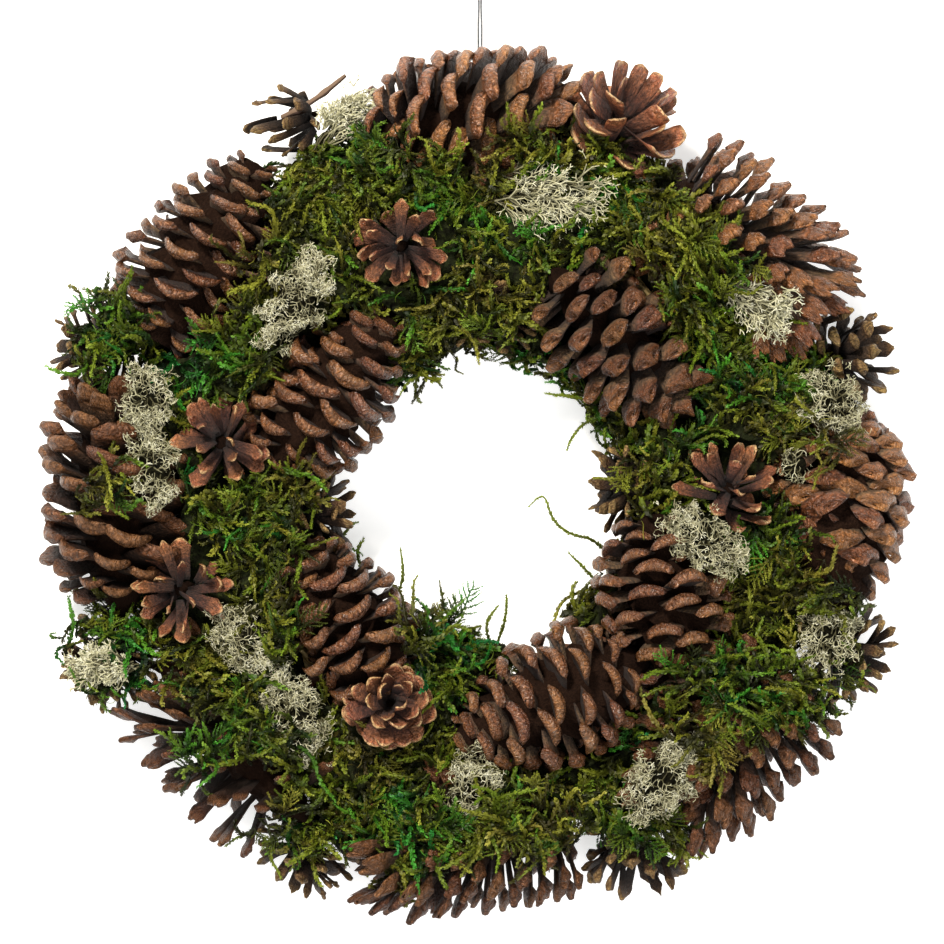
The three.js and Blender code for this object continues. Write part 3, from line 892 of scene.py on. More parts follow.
HABITS = {
    ConeMake.ROWS: ROWS_HABIT,
    ConeMake.LIPS: replace(
        ROWS_HABIT, scales=68, lip=5.2, blade=2.4, waist=0.92, cup=3.4, keel=0.5,
        opening=((0.0, 108), (0.3, 94), (0.6, 80), (0.85, 60), (1.0, 28)),
    ),
    ConeMake.FANNED: replace(
        ROWS_HABIT, scales=84, width=20.0, lip=5.4, blade=2.6, waist=0.92, cup=3.6, keel=0.5, core=0.5,
        longest=36.0, slant=14.0, vary=0.16,
        opening=((0.0, 104), (0.3, 78), (0.6, 60), (0.85, 44), (1.0, 20)),
        outline=((0.0, 0.7), (0.2, 1.05), (0.6, 1.06), (0.88, 0.85), (1.0, 0.5)),
    ),
    ConeMake.FACES: replace(
        STRAPS_HABIT, scales=60, width=15.5, lip=6.6, blade=2.4, waist=0.76, hood=0.52, arch=0.3, tip=0.34,
        umbo=0.1, keel=0.2, longest=34.0, slant=0.0, notch=0.02, vary=0.1,
        opening=((0.0, 96), (0.3, 84), (0.6, 70), (0.85, 50), (1.0, 24)),
        outline=((0.0, 0.62), (0.22, 1.0), (0.6, 1.0), (0.88, 0.72), (1.0, 0.4)),
    ),
    ConeMake.STRAPS: STRAPS_HABIT,
    ConeMake.FINGERS: replace(
        STRAPS_HABIT, scales=74, width=9.4, lip=3.6, waist=0.72, hood=0.8, arch=0.05, umbo=0.5, keel=0.4,
        longest=42.0, notch=0.03, spread=7.0, twist=18.0, slant=42.0, vary=0.16,
        opening=((0.0, 108), (0.3, 90), (0.6, 68), (0.85, 48), (1.0, 24)),
    ),
    ConeMake.SHUT: replace(
        STRAPS_HABIT, scales=80, width=21.0, lip=6.0, blade=3.0, waist=0.8, cup=1.6, droop=0.8, core=0.66,
        hood=0.52, arch=0.26, tip=0.36, umbo=1.2, keel=1.5, longest=24.0, slant=0.0, notch=0.008, vary=0.1,
        opening=((0.0, 88), (0.3, 62), (0.6, 50), (0.85, 38), (1.0, 20)),
        outline=OUTLINE,
    ),
    ConeMake.EDGE: EDGE_HABIT,
    ConeMake.BLADES: ConeHabit(
        scales=18, width=6.4, lip=1.8, blade=1.4, waist=0.85, cup=0.6, droop=-1.8, core=0.12, hood=0.86,
        longest=26.0, spread=12.0, twist=18.0, vary=0.2, sizes=((0.0, 1.0), (1.0, 0.8)),
        opening=((0.0, 34), (0.4, 24), (0.8, 12), (1.0, 5)),
    ),
    ConeMake.STUBS: replace(
        EDGE_HABIT, scales=34, width=9.5, lip=3.6, blade=1.8, waist=0.8, cup=0.9, droop=0.5, core=0.3,
        hood=0.74, arch=0.12, tip=0.4, twist=18.0,
        opening=((0.0, 100), (0.3, 78), (0.6, 56), (0.85, 34), (1.0, 12)),
        sizes=((0.0, 0.9), (0.25, 1.0), (0.7, 0.9), (1.0, 0.6)),
        outline=((0.0, 0.9), (0.25, 1.15), (0.6, 1.1), (0.9, 0.8), (1.0, 0.4)),
    ),
    ConeMake.SPOONS: replace(
        ROSETTE_HABIT, scales=36, width=13.5, waist=0.84, cup=1.6, droop=-0.6, arch=0.05, tip=0.92,
        longest=31.0, spread=9.0,
        opening=((0.0, 94), (0.4, 72), (0.65, 52), (0.85, 30), (1.0, 8)),
        outline=((0.0, 0.8), (0.24, 1.15), (0.6, 1.15), (0.85, 0.8), (1.0, 0.4)),
    ),
    ConeMake.ROSE: replace(
        ROSETTE_HABIT, scales=36, width=10.5, waist=0.86, cup=2.0, droop=-1.6, tip=0.86, spread=7.0,
        twist=10.0,
    ),
    ConeMake.ROSETTE: ROSETTE_HABIT,
}


@dataclass(frozen=True)
class Place:
    """Where something sits on the wreath: the middle of its outline, in millimetres."""

    name: str
    x: float
    y: float
    z: float

    @property
    def middle(self) -> Array:
        """The middle as one point."""
        return np.array([self.x, self.y, self.z], float)


@dataclass(frozen=True)
class ConePlace(Place):
    """Where a cone lies, with the way its tip points, its rise from the table and its size."""

    heading: float
    rise: float
    length: float
    radius: float
    make: ConeMake
    roll: float = 0.0
    lean: float = 0.0
    # Whether its scales take the darker wood with painted shade.
    shaded: bool = False

    def axis(self, lean: float = 0.0) -> Array:
        """The way that the tip points, lifted by a lean in degrees."""
        turn, lift = math.radians(self.heading), math.radians(self.rise + lean)
        flat = math.cos(lift)
        return np.array([math.cos(turn) * flat, math.sin(turn) * flat, math.sin(lift)], float)

    def frame(self) -> Array:
        """Axes of the cone as columns, its own Z along it."""
        axis = self.axis(self.lean)
        turn = math.radians(self.heading)
        side = np.array([-math.sin(turn), math.cos(turn), 0.0])
        spin = math.radians(self.roll)
        other = np.cross(axis, side)
        x = math.cos(spin) * side + math.sin(spin) * other
        return np.stack([x, np.cross(axis, x), axis], axis=-1)

    def clear_of(self, points: Array) -> Array:
        """How far points lie outside the cone's outline, in millimetres, negative inside.

        Args:
            points: Points to test, (n, 3).

        Returns:
            The distances, (n,).
        """
        axis = self.axis()
        away = points - self.middle
        along = away @ axis
        share = along / self.length + 0.5
        out = np.linalg.norm(away - along[:, None] * axis, axis=-1)
        edge = self.radius * read(OUTLINE, share)
        past = np.maximum(0, np.abs(share - 0.5) - 0.5) * self.length
        return np.maximum(out - edge, past)


CONES = (
    ConePlace("outer_cone_upper_left", -111, 93, 38, 60, 0, 90, 33, ConeMake.ROWS, 20),
    ConePlace("outer_cone_top", 1.5, 145, 39, 6, 0, 88, 32, ConeMake.FANNED, 75, 2),
    ConePlace("outer_cone_upper_right", 109, 90, 39, 317, 0, 86, 34, ConeMake.STRAPS, 10, -16),
    ConePlace("outer_cone_right", 148, -17, 40, 268, 0, 84, 32, ConeMake.SHUT, 33, 8),
    ConePlace("outer_cone_lower_right", 99, -109, 38, 222, 0, 88, 33, ConeMake.STRAPS, 50, -10, True),
    ConePlace("outer_cone_bottom", -6, -145, 37, 183, 0, 96, 32, ConeMake.STRAPS, 110, 0, True),
    ConePlace("outer_cone_lower_left", -103, -104, 38, 133, 0, 88, 33, ConeMake.FINGERS, 5, -14, True),
    ConePlace("outer_cone_left", -148, -2, 37, 92, 0, 94, 32, ConeMake.FANNED, 41, 0, True),
    ConePlace("inner_cone_upper_right", 62, 53, 51, 315, 0, 84, 30, ConeMake.FACES, 91, -12),
    ConePlace("inner_cone_right", 78, -55, 53, 280, 0, 80, 30, ConeMake.LIPS, 140, -5),
    ConePlace("inner_cone_bottom", 27, -92, 56, 205, 0, 82, 30, ConeMake.LIPS, 15),
    ConePlace("inner_cone_lower_left", -55, -57, 50, 120, 0, 76, 29, ConeMake.LIPS, 60),
    ConePlace("inner_cone_upper_left", -59, 37, 47, 53, 0, 80, 30, ConeMake.LIPS, 84),
    ConePlace("edge_cone_right_upper", 154, 50, 32, 5, 12, 38, 20, ConeMake.STUBS, 10, 14),
    ConePlace("edge_cone_top_right", 61, 148, 42, 55, 48, 42, 24, ConeMake.SPOONS, 40, -10),
    ConePlace("edge_cone_top_left", -81, 146, 34, 195, 5, 34, 17, ConeMake.BLADES, 60),
    ConePlace("edge_cone_left_upper", -157, 54, 31, 178, 8, 38, 19, ConeMake.EDGE, 0),
    ConePlace("edge_cone_left_lower", -152, -77, 30, 238, 0, 38, 19, ConeMake.EDGE, 30),
    ConePlace("edge_cone_bottom_left", -70, -154, 30, 248, 10, 38, 21, ConeMake.EDGE, 90),
    ConePlace("edge_cone_bottom_right", 66, -155, 31, 285, 12, 38, 21, ConeMake.STUBS, 120, 12),
    ConePlace("edge_cone_right_lower", 153, -71, 31, 345, 10, 40, 21, ConeMake.EDGE, 80),
    ConePlace("rim_cone_top", 8, 66, 40, 265, 0, 34, 19, ConeMake.EDGE, 20),
    ConePlace("rim_cone_right", 62, -4, 38, 184, 0, 34, 19, ConeMake.EDGE, 50),
    ConePlace("rim_cone_left", -66, -14, 36, 4, 0, 34, 19, ConeMake.EDGE, 70),
    ConePlace("rosette_cone_top", -31, 93, 63, 250, 72, 38, 21, ConeMake.ROSETTE, 15),
    ConePlace("rosette_cone_left", -104, 15, 62, 120, 78, 38, 22, ConeMake.ROSETTE, 55),
    ConePlace("rosette_cone_lower_left", -121, -46, 60, 200, 76, 38, 24, ConeMake.ROSETTE, 100),
    ConePlace("rosette_cone_bottom", -35, -91, 66, 60, 74, 38, 20, ConeMake.ROSE, 150),
    ConePlace("rosette_cone_right", 103, -2, 62, 70, 62, 38, 23, ConeMake.ROSETTE, 200, -14),
)


@cache
def scale_shapes(make: ConeMake) -> list[Shape]:
    """The eight shapes of scale that all cones of a kind share."""
    return [HABITS[make].grow_scale(40 + number) for number in range(SCALE_SHAPES)]


@dataclass
class PineCone:
    """One cone of the wreath: a woody core with spread scales in a golden spiral."""

    place: ConePlace
    seed: int

    @property
    def habit(self) -> ConeHabit:
        """How this kind of cone grows."""
        return HABITS[self.place.make]

    def shares(self) -> Array:
        """Where each scale's tip lies, from 0 at the base to 1, closer where scales are small."""
        fine = np.linspace(0.0, 1.0, 400)
        total = np.cumsum(read(self.habit.outline, fine) / read(self.habit.sizes, fine) ** 2)
        count = self.habit.scales
        return np.interp((np.arange(count) + 0.5) / count, total / total[-1], fine)

    def spiral(self, rng: Rng) -> tuple[Array, Array]:
        """Sets the scales in their golden spiral.

        Args:
            rng: The source of chance.

        Returns:
            Where each scale is rooted, (n, 3), and its axes as columns, stretched to its size, (n, 3, 3).
        """
        habit, place = self.habit, self.place
        count = habit.scales
        share = self.shares()
        size = read(habit.sizes, share) * rng.uniform(1 - habit.vary, 1 + habit.vary, count)
        azimuth = np.radians(np.arange(count) * GOLDEN_ANGLE + rng.normal(0, habit.spread, count))
        opening = np.radians(read(habit.opening, share) + rng.normal(0, habit.spread, count))
        reach = place.radius * read(habit.outline, share) * rng.uniform(1 - 0.7 * habit.vary, 1.02, count)
        core = place.radius * 0.16 * np.interp(share, [0, 0.5, 1], [1, 0.9, 0.35])
        length = np.clip((reach - core) / np.maximum(np.sin(opening), 0.35), 6, habit.longest)
        up = np.array([0.0, 0.0, 1.0])
        outward = np.stack([np.cos(azimuth), np.sin(azimuth), np.zeros(count)], -1)
        tangent = np.stack([-np.sin(azimuth), np.cos(azimuth), np.zeros(count)], -1)
        tip = outward * reach[:, None] + up * ((share - 0.5) * place.length)[:, None]
        direction = np.cos(opening)[:, None] * up + np.sin(opening)[:, None] * outward
        root = tip - direction * length[:, None]
        root[:, 2] = np.clip(root[:, 2], 4 - place.length / 2, place.length / 2 - 5)
        along = tip - root
        length = np.linalg.norm(along, axis=-1)
        twist = np.radians(rng.normal(habit.slant, habit.twist, count))[:, None]
        near = unit(np.cross(along, tangent)) * np.cos(twist) + tangent * np.sin(twist)
        stretch = np.stack([habit.width / 2 * size * rng.uniform(0.93, 1.07, count), length, size], -1)
        own = place.frame()
        frames = np.einsum("ij,cjk->cik", own, frames_along(along, near) * stretch[:, None])
        roots = root @ own.T + place.middle
        if place.rise < FACING_RISE:
            buried = under_growth(roots + frames[..., 1])
            frames[..., 1] *= np.where(buried, BURIED_LENGTH, 1.0)[:, None]
        return roots, frames

    def heart(self, sketch: Sketch) -> None:
        """Adds the woody core, whose lumps show between the scales in near-black painted shade.

        Args:
            sketch: The piece's points and faces.
        """
        place = self.place
        along = np.linspace(0.03, 0.96 if place.make.large else 0.42, HEART_STEPS)
        spine = place.middle + ((along - 0.5) * place.length)[:, None] * place.axis(place.lean)
        thick = place.radius * self.habit.core * read(OUTLINE, along)
        points, faces, places = sweep(spine, thick, HEART_SIDES)
        middle = spine[np.minimum(np.arange(len(points)) // HEART_SIDES, HEART_STEPS - 1)]
        points = middle + (points - middle) * (1 + 0.2 * waves(points, 7.0, self.seed))[:, None]
        points[:, 2] = np.maximum(points[:, 2], 2 * LEAST_HEIGHT)
        sketch.add(points, faces, places * 0.24 + 0.755, 1)

    def build(self, material: Material, shade: Material) -> Piece:
        """Builds the cone.

        Args:
            material: The wood of its scales.
            shade: The dark inside between them.

        Returns:
            The piece, which stands for the solid of the same name.
        """
        rng = np.random.default_rng(self.seed)
        roots, frames = self.spiral(rng)
        tile = rng.integers(0, SCALE_TILES, len(roots))
        tiles = np.stack([tile % SHEET_SIDE, tile // SHEET_SIDE], -1)
        pick = rng.integers(0, SCALE_SHAPES, len(roots))
        sketch = Sketch()
        for number, shape in enumerate(scale_shapes(self.place.make)):
            mine = pick == number
            places = (tiles[mine][:, None, None] + shape.places[None]) / SHEET_SIDE
            points = placed(shape.points, frames[mine], roots[mine])
            points[..., 2] = np.maximum(points[..., 2], LEAST_HEIGHT)
            sketch.add(points, shape.faces, places)
        self.heart(sketch)
        return sketch.stand_for(self.place.name, "scales", [material, shade])


# ---------------------------------------------------------------- lichen


@dataclass(frozen=True)
class TuftPlace(Place):
    """Where a lichen tuft sits, with half its length and width, how it is turned and if it fans out.

    Its twigs may spill over its outline, which is given as a share.
    """

    long: float
    wide: float
    turn: float
    fans: bool = False
    spill: float = 1.0
    high: float = 8.0

    @property
    def half(self) -> Array:
        """Half the size of its outline."""
        return np.array([self.long, self.wide, self.high])

    def frame(self) -> Array:
        """Its long, wide and high axes as columns."""
        a = math.radians(self.turn)
        return np.array([[math.cos(a), -math.sin(a), 0], [math.sin(a), math.cos(a), 0], [0, 0, 1]])

    def bed(self) -> Array:
        """Half the size of its dark base, whose colour is painted shade, in millimetres."""
        return self.half * ([0.2, 0.2, 0.2] if self.fans else [0.7, 0.7, 0.22])

    def clear_of(self, points: Array) -> Array:
        """About how far points lie outside the tuft, in millimetres, negative inside."""
        inner = (points - self.middle) @ self.frame() / self.half
        return (np.linalg.norm(inner, axis=-1) - 1) * min(self.wide, self.high)


TUFT_SPOTS = (
    (-53, 149, 42, 17, 10, 45, True), (32, 114, 58, 22, 14, -10, True, 1.3),
    (115, 71, 64, 18, 10, -30, True, 1.3), (145, 30, 54, 16, 12, 112), (128, 5, 62.5, 7, 7, 0),
    (91, -25, 70.5, 20, 11, -35), (143, -65, 52, 14, 12, 60), (77, -122, 62, 22, 12, 45),
    (-2, -127, 64, 19, 10, 80), (-92, -65, 60, 14, 10, -55, False, 1.25),
    (-74, -96, 60, 18, 10, -62, False, 1.15), (-155, -77, 50.5, 14, 9, 185, True, 1.25),
    (-134, 32, 60, 14, 10, 80), (-131, 5, 64, 17, 9, 100), (-74, 72, 60, 22, 11, 62),
)
TUFTS = tuple(TuftPlace(f"lichen_tuft_{n:02d}", *spot) for n, spot in enumerate(TUFT_SPOTS, 1))


@dataclass(frozen=True)
class TuftHabit:
    """How lichen forks: how often, how much shorter each time, at what angle, and how stout it is."""

    levels: int
    shrink: float
    fork: float
    widen: float
    stout: float


CUSHION_HABIT = TuftHabit(levels=5, shrink=0.8, fork=38.0, widen=0.0, stout=1.0)
FAN_HABIT = TuftHabit(levels=6, shrink=0.76, fork=24.0, widen=3.0, stout=1.6)
TWIG_RINGS = (
    (-0.08, ((1, 0), (-0.5, 0.87), (-0.5, -0.87))), (1.06, ((0.6, 0), (-0.3, 0.52), (-0.3, -0.52))),
)
TWIG_FACES = ((0, 3, 4, 1), (1, 4, 5, 2), (2, 5, 3, 0))
TWIG_SWAY = ((-0.004, -0.004, 0.0, 0.0), (0.0, 0.0, 0.004, 0.004), (0.004, 0.004, -0.004, -0.004))


@dataclass
class LichenTuft:
    """A cushion of reindeer lichen: pale twigs that fork again and again over a felted base in dark painted
    shade.
    """

    place: TuftPlace
    seed: int
    starts_per_mm2: float = 0.29
    first: float = 2.6
    fan_stems: int = 34
    thick: float = 0.32
    thin: float = 0.16

    @property
    def half(self) -> Array:
        """Half the size that its twigs fill."""
        return self.place.half * [self.place.spill, self.place.spill, 1.0]

    def stems(self, rng: Rng) -> tuple[Array, Array, Array]:
        """Where the twigs start, which way they head and how far out they are.

        Args:
            rng: The source of chance.

        Returns:
            Starts, headings and the share of the way out, in the tuft's own axes.
        """
        half = self.half
        if self.place.fans:
            count = self.fan_stems
            start = rng.uniform([-1.15, -0.3, -0.3], [0.05, 0.3, 0.2], (count, 3)) * half
            way = rng.uniform([0.3, -0.55, 0.0], [1.0, 0.55, 0.6], (count, 3)) * half
            return start, unit(way), rng.uniform(0.55, 0.9, count)
        count = int(math.pi * half[0] * half[1] * self.starts_per_mm2)
        turn = rng.uniform(0, 2 * np.pi, count)
        away = np.sqrt(rng.random(count)) * 0.9
        spot = np.stack([away * np.cos(turn), away * np.sin(turn)], -1)
        dome = np.sqrt(1 - away**2)
        depth = rng.random(count)
        start = np.column_stack([spot, dome * (0.1 + 0.65 * depth)]) * half
        keep = waves(start[:, :2], 7.0, self.seed + 1) > -0.9
        swing = rng.normal(0, 1.0, count) + np.arctan2(spot[:, 1] * half[1], spot[:, 0] * half[0])
        heading = np.column_stack([np.cos(swing), np.sin(swing), rng.uniform(-0.05, 0.6, count)])
        return start[keep], unit(heading[keep]), 0.25 + 0.75 * depth[keep]

    def twigs(self, rng: Rng) -> tuple[Array, Array, Array, Array]:
        """Grows the forking twigs.

        Args:
            rng: The source of chance.

        Returns:
            Starts, ends, radii and how far out each lies, from 0 at the base to 1 at the tips.
        """
        habit = FAN_HABIT if self.place.fans else CUSHION_HABIT
        start, heading, out = self.stems(rng)
        step = 0.3 * self.place.long if self.place.fans else self.first
        fork = habit.fork
        found = []
        for level in range(habit.levels):
            share = level / (habit.levels - 1)
            thick = habit.stout * (self.thick + (self.thin - self.thick) * share)
            stretch = step * rng.uniform(0.65, 1.35, len(start))
            end = start + heading * stretch[:, None]
            found.append((start, end, np.full(len(start), thick), out * 0.5 + 0.5 * share))
            aside = unit(np.cross(heading, rng.normal(0, 1, heading.shape) * [0.6, 0.6, 1.0]))
            swing = np.radians(fork * rng.uniform(0.5, 1.4, len(start)))[:, None]
            left = heading * np.cos(swing) + aside * np.sin(swing)
            right = heading * np.cos(swing) - aside * np.sin(swing)
            start = np.concatenate([end, end])
            heading = unit(np.concatenate([left, right]) * [1.0, 1.0, 0.85])
            out = np.concatenate([out, out])
            step *= habit.shrink
            fork += habit.widen
        starts, ends, radii, outs = (np.concatenate(x) for x in zip(*found, strict=True))
        lobes = 1.06 + 0.3 * waves(ends, 9.0, self.seed)
        inside = np.linalg.norm(ends / self.half, axis=-1) < lobes
        return starts[inside], ends[inside], radii[inside], outs[inside]

    def build(self, strand: Material, base: Material) -> Piece:
        """Builds the tuft.

        Args:
            strand: Finish of the twigs.
            base: Finish of the felted base, dark with painted shade.

        Returns:
            The piece, which stands for the solid of the same name.
        """
        rng = np.random.default_rng(self.seed)
        place = self.place
        starts, ends, radii, outs = self.twigs(rng)
        along = ends - starts
        frames = frames_along(along, rng.normal(size=along.shape))
        frames = frames * np.stack([radii, np.linalg.norm(along, axis=-1), radii], -1)[:, None]
        twig = np.array([[x, y, z] for y, ring in TWIG_RINGS for x, z in ring])
        own = place.frame()
        points = placed(twig, np.einsum("ij,cjk->cik", own, frames), starts @ own.T + place.middle)
        kind = np.clip(rng.normal(0.5, 0.22, len(starts)), 0.02, 0.98)[:, None, None] / 2
        low, high = outs * 0.9 + 0.02, np.minimum(outs * 0.9 + 0.1, 0.98)
        u = np.clip(kind + np.array(TWIG_SWAY), 0.001, 0.499)
        v = np.broadcast_to(np.stack([low, high, high, low], -1)[:, None], u.shape)
        sketch = Sketch()
        sketch.add(points, np.array(TWIG_FACES), np.stack([u, v], -1))
        root = own @ (place.bed() * [-4.0, 0, -2.0]) if place.fans else 0
        sketch.add(*cushion(own, place.middle + root, place.bed(), self.seed), 1)
        return sketch.stand_for(place.name, "twigs", [strand, base])


def plan_places(points: Array, faces: Array) -> Array:
    """Map places of a matted base: its plan, sheared by height so that steep faces keep some width.

    Args:
        points: Points in millimetres, (n, 3).
        faces: Numbers of each face's points.

    Returns:
        Places in the half of the map from u 0.5 to 1.
    """
    u = 0.5 + (points[:, 0] + 0.35 * points[:, 2] + PLAN_WIDE / 4) / PLAN_WIDE
    v = (points[:, 1] + 0.45 * points[:, 2] + PLAN_HIGH / 2) / PLAN_HIGH
    return np.stack([np.clip(u, 0.501, 0.999), np.clip(v, 0.001, 0.999)], -1)[faces]


def cushion(frame: Array, middle: Array, half: Array, seed: int) -> Shape:
    """A bumpy closed cushion, used as the dark base of a tuft, whose colour is painted shade.

    Args:
        frame: Its axes as columns.
        middle: Its middle.
        half: Half its length, width and height.
        seed: Number that picks its bumps.

    Returns:
        The cushion, with the map places of a matted base.
    """
    rings, sides = 12, 24
    lift = np.linspace(-np.pi / 2 + 0.12, np.pi / 2 - 0.12, rings)[:, None]
    turn = 2 * np.pi * np.arange(sides) / sides
    grid = np.stack([np.cos(lift) * np.cos(turn), np.cos(lift) * np.sin(turn), np.sin(lift) + 0 * turn], -1)
    grid = grid.reshape(-1, 3) * half
    grid = grid * (1 + 0.12 * waves(grid, 4.0, seed))[:, None]
    poles = np.array([[0, 0, -half[2]], [0, 0, half[2]]])
    points = np.vstack([grid, poles]) @ frame.T + middle
    caps = []
    for k in range(0, sides, 2):
        trio = [k, (k + 1) % sides, (k + 2) % sides]
        caps.append([rings * sides, *trio[::-1]])
        caps.append([rings * sides + 1, *((rings - 1) * sides + t for t in trio)])
    faces = np.vstack([grid_faces(rings, sides)[0], caps])
    return Shape(points, faces, plan_places(points, faces))


# ---------------------------------------------------------------- moss


# The section of the straw ring, in millimetres.
RING_MIDDLE = 106.0
RING_HALF_WIDTH = 22.0
RING_HEIGHT = 33.0
# Scales this near to a patch of moss, and above this height, lie under it.
COVER_MARGIN = 2.5
UPPER_HALF = 44.0
# Radii of the moss mat's outer steps and its heights from the inner edge to the outer one.
MAT_EDGES = (105, 135, 146, 149)
MAT_LEVELS = (20, 40, 52, 57, 51, 38, 12)


class Coat(NamedTuple):
    """A layer of moss: its shapes of shoot, how many stand on a square millimetre and how deep they root.

    A shoot is rooted at the origin and grows along +Y with its upper side to +Z.
    """

    shoots: list[Shape]
    per_mm2: float
    deepest: float = 1.0


def shoot_course(rng: Rng, length: float, steps: int, curl: float, pitch: float) -> Array:
    """The curved centre line of a shoot that climbs from its root and bows over.

    Args:
        rng: The source of chance.
        length: Its length in millimetres.
        steps: Number of points.
        curl: How far it turns aside from root to tip, in radians.
        pitch: How steeply it rises at its root, in radians.

    Returns:
        The points, (steps, 3), from the origin.
    """
    t = np.linspace(0, 1, steps)
    turn = curl * t + 0.35 * np.sin(2 * np.pi * (t * rng.uniform(0.6, 1.3) + rng.random()))
    climb = pitch * (1 - 1.8 * t) + 0.3 * np.sin(2 * np.pi * (t + rng.random()))
    way = np.stack([np.sin(turn) * np.cos(climb), np.cos(turn) * np.cos(climb), np.sin(climb)], -1)
    course = np.cumsum(way, axis=0) * length / steps
    return course - course[0]


def joined(parts: list[Shape]) -> Shape:
    """Several shapes as one."""
    filled = np.cumsum([0] + [len(part.points) for part in parts])
    faces = [part.faces + start for part, start in zip(parts, filled[:-1], strict=True)]
    points, places = [part.points for part in parts], [part.places for part in parts]
    return Shape(np.concatenate(points), np.concatenate(faces), np.concatenate(places))


def leafy(rng: Rng, course: Array, leaf: float, gap: float, stem: float, start: float) -> Shape:
    """A stem with small leaves that lean forward on three sides, like the plait of a feather moss.

    Args:
        rng: The source of chance.
        course: Points of the stem, (n, 3).
        leaf: Length of a leaf in millimetres.
        gap: Distance between whorls in millimetres.
        stem: Radius of the stem in millimetres.
        start: Map v at its root, where the painted shade is deepest. The tip is at 1.

    Returns:
        The shape, with map places whose u is relative to the shoot's own.
    """
    pieces = np.linalg.norm(np.diff(course, axis=0), axis=-1)
    walk = np.concatenate([[0], np.cumsum(pieces)])
    whorls = max(3, int(walk[-1] / gap))
    at = np.repeat((np.arange(whorls) + 0.5) / whorls * walk[-1], 3)
    count = len(at)
    centre = on_line(course, walk, at)
    tangent = unit(on_line(np.gradient(course, axis=0), walk, at))
    sideways = unit(np.cross(tangent, [0, 0, 1]))
    upward = np.cross(sideways, tangent)
    turn = np.radians(np.tile([0.0, 180.0, 90.0], whorls) + rng.normal(0, 26, count))[:, None]
    aside = np.cos(turn) * sideways + np.sin(turn) * upward
    swing = np.radians(rng.uniform(14, 44, count))[:, None]
    share = (at / walk[-1])[:, None]
    size = leaf * rng.uniform(0.7, 1.3, (count, 1)) * (1 - 0.5 * share**2)
    out = np.cos(swing) * tangent + np.sin(swing) * aside
    broad = unit(np.cross(out, aside + 0.5 * rng.normal(size=(count, 3)))) * size * 0.34
    base = centre + aside * stem * 0.5
    waist = base + out * size * 0.45
    points = np.stack([base, waist + broad, base + out * size, waist - broad], 1).reshape(-1, 3)
    v = start + (1 - start) * share
    ends = np.stack([v - 0.1, v, np.minimum(v + 0.2, 1), v], -1)[:, 0]
    places = np.stack([np.broadcast_to([0, 0.006, 0, -0.006], ends.shape), ends], -1)
    width = np.interp(np.linspace(0, 1, len(course)), [0, 0.7, 1], [1, 0.8, 0.35]) * stem
    tube = sweep(course, width, 4)
    u, v = tube.places[..., 0], tube.places[..., 1]
    spots = np.stack([(u - 0.5) * 0.008, start + (1 - start) * 0.8 * v], -1)
    return joined([Shape(points, np.arange(4 * count).reshape(-1, 4), places), tube._replace(places=spots)])


def rope_shoot(seed: int) -> Shape:
    """A simple plaited shoot, curled and 9 to 19 mm long."""
    rng = np.random.default_rng(seed)
    course = shoot_course(rng, rng.uniform(10, 21), 9, rng.uniform(-2.8, 2.8), rng.uniform(0.2, 0.95))
    return leafy(rng, course, rng.uniform(1.45, 2.0), 0.7, 0.5, 0.15)


def long_shoot(seed: int) -> Shape:
    """A stout plaited shoot, 17 to 28 mm long, that lies on top of the others in a loose bow."""
    rng = np.random.default_rng(seed)
    course = shoot_course(rng, rng.uniform(18, 30), 12, rng.uniform(-3.2, 3.2), rng.uniform(0.15, 0.5))
    return leafy(rng, course, rng.uniform(1.6, 2.0), 0.62, 0.55, 0.4)


def fern_shoot(seed: int) -> Shape:
    """A feather of moss: a main shoot with side plaits on both sides, 10 to 16 mm long."""
    rng = np.random.default_rng(seed)
    course = shoot_course(rng, rng.uniform(12, 18), 8, rng.uniform(-0.8, 0.8), rng.uniform(0.1, 0.6))
    parts = [leafy(rng, course, 1.1, 0.9, 0.3, 0.15)]
    tangent = unit(np.gradient(course, axis=0))
    line = np.linspace(0, 1, len(course))
    s = np.linspace(0, 1, 4)[:, None]
    for k in range(11):
        t = 0.15 + 0.78 * k / 10
        base, ahead = on_line(course, line, t), on_line(tangent, line, t)
        aside = unit(np.cross(ahead, [0, 0, 1])) * (1 if k % 2 else -1)
        reach = 5.5 * (1 - t) ** 0.6 * rng.uniform(0.8, 1.15) + 1.4
        swing = math.radians(rng.uniform(42, 62))
        lift = np.array([0, 0, rng.uniform(-0.1, 0.35)])
        way = unit(ahead * math.cos(swing) + aside * math.sin(swing) + lift)
        branch = base + way * reach * s + ahead * reach * 0.3 * s**2 - np.array([0, 0, 0.12 * reach]) * s**2
        parts.append(leafy(rng, branch, 0.95, 0.75, 0.2, 0.3 + 0.3 * t))
    return joined(parts)


def wisp_shoot(seed: int) -> Shape:
    """A bare dry thread of old moss, 5 to 12 mm long."""
    rng = np.random.default_rng(seed)
    course = shoot_course(rng, rng.uniform(6, 14), 8, rng.uniform(-2.6, 2.6), rng.uniform(0.3, 1.0))
    tube = sweep(course, np.full(8, 0.13), 4)
    u, v = tube.places[..., 0], tube.places[..., 1]
    return tube._replace(places=np.stack([u * 0.006, 0.6 + 0.38 * v], -1))


def moss_coats() -> tuple[Coat, ...]:
    """The four layers of shoots, plain ropes first and the loose ones that lie on top last."""
    return (
        Coat([rope_shoot(500 + n) for n in range(16)], 0.122),
        Coat([fern_shoot(600 + n) for n in range(8)], 0.014),
        Coat([wisp_shoot(650 + n) for n in range(6)], 0.02),
        Coat([long_shoot(680 + n) for n in range(8)], 0.009, 0.35),
    )


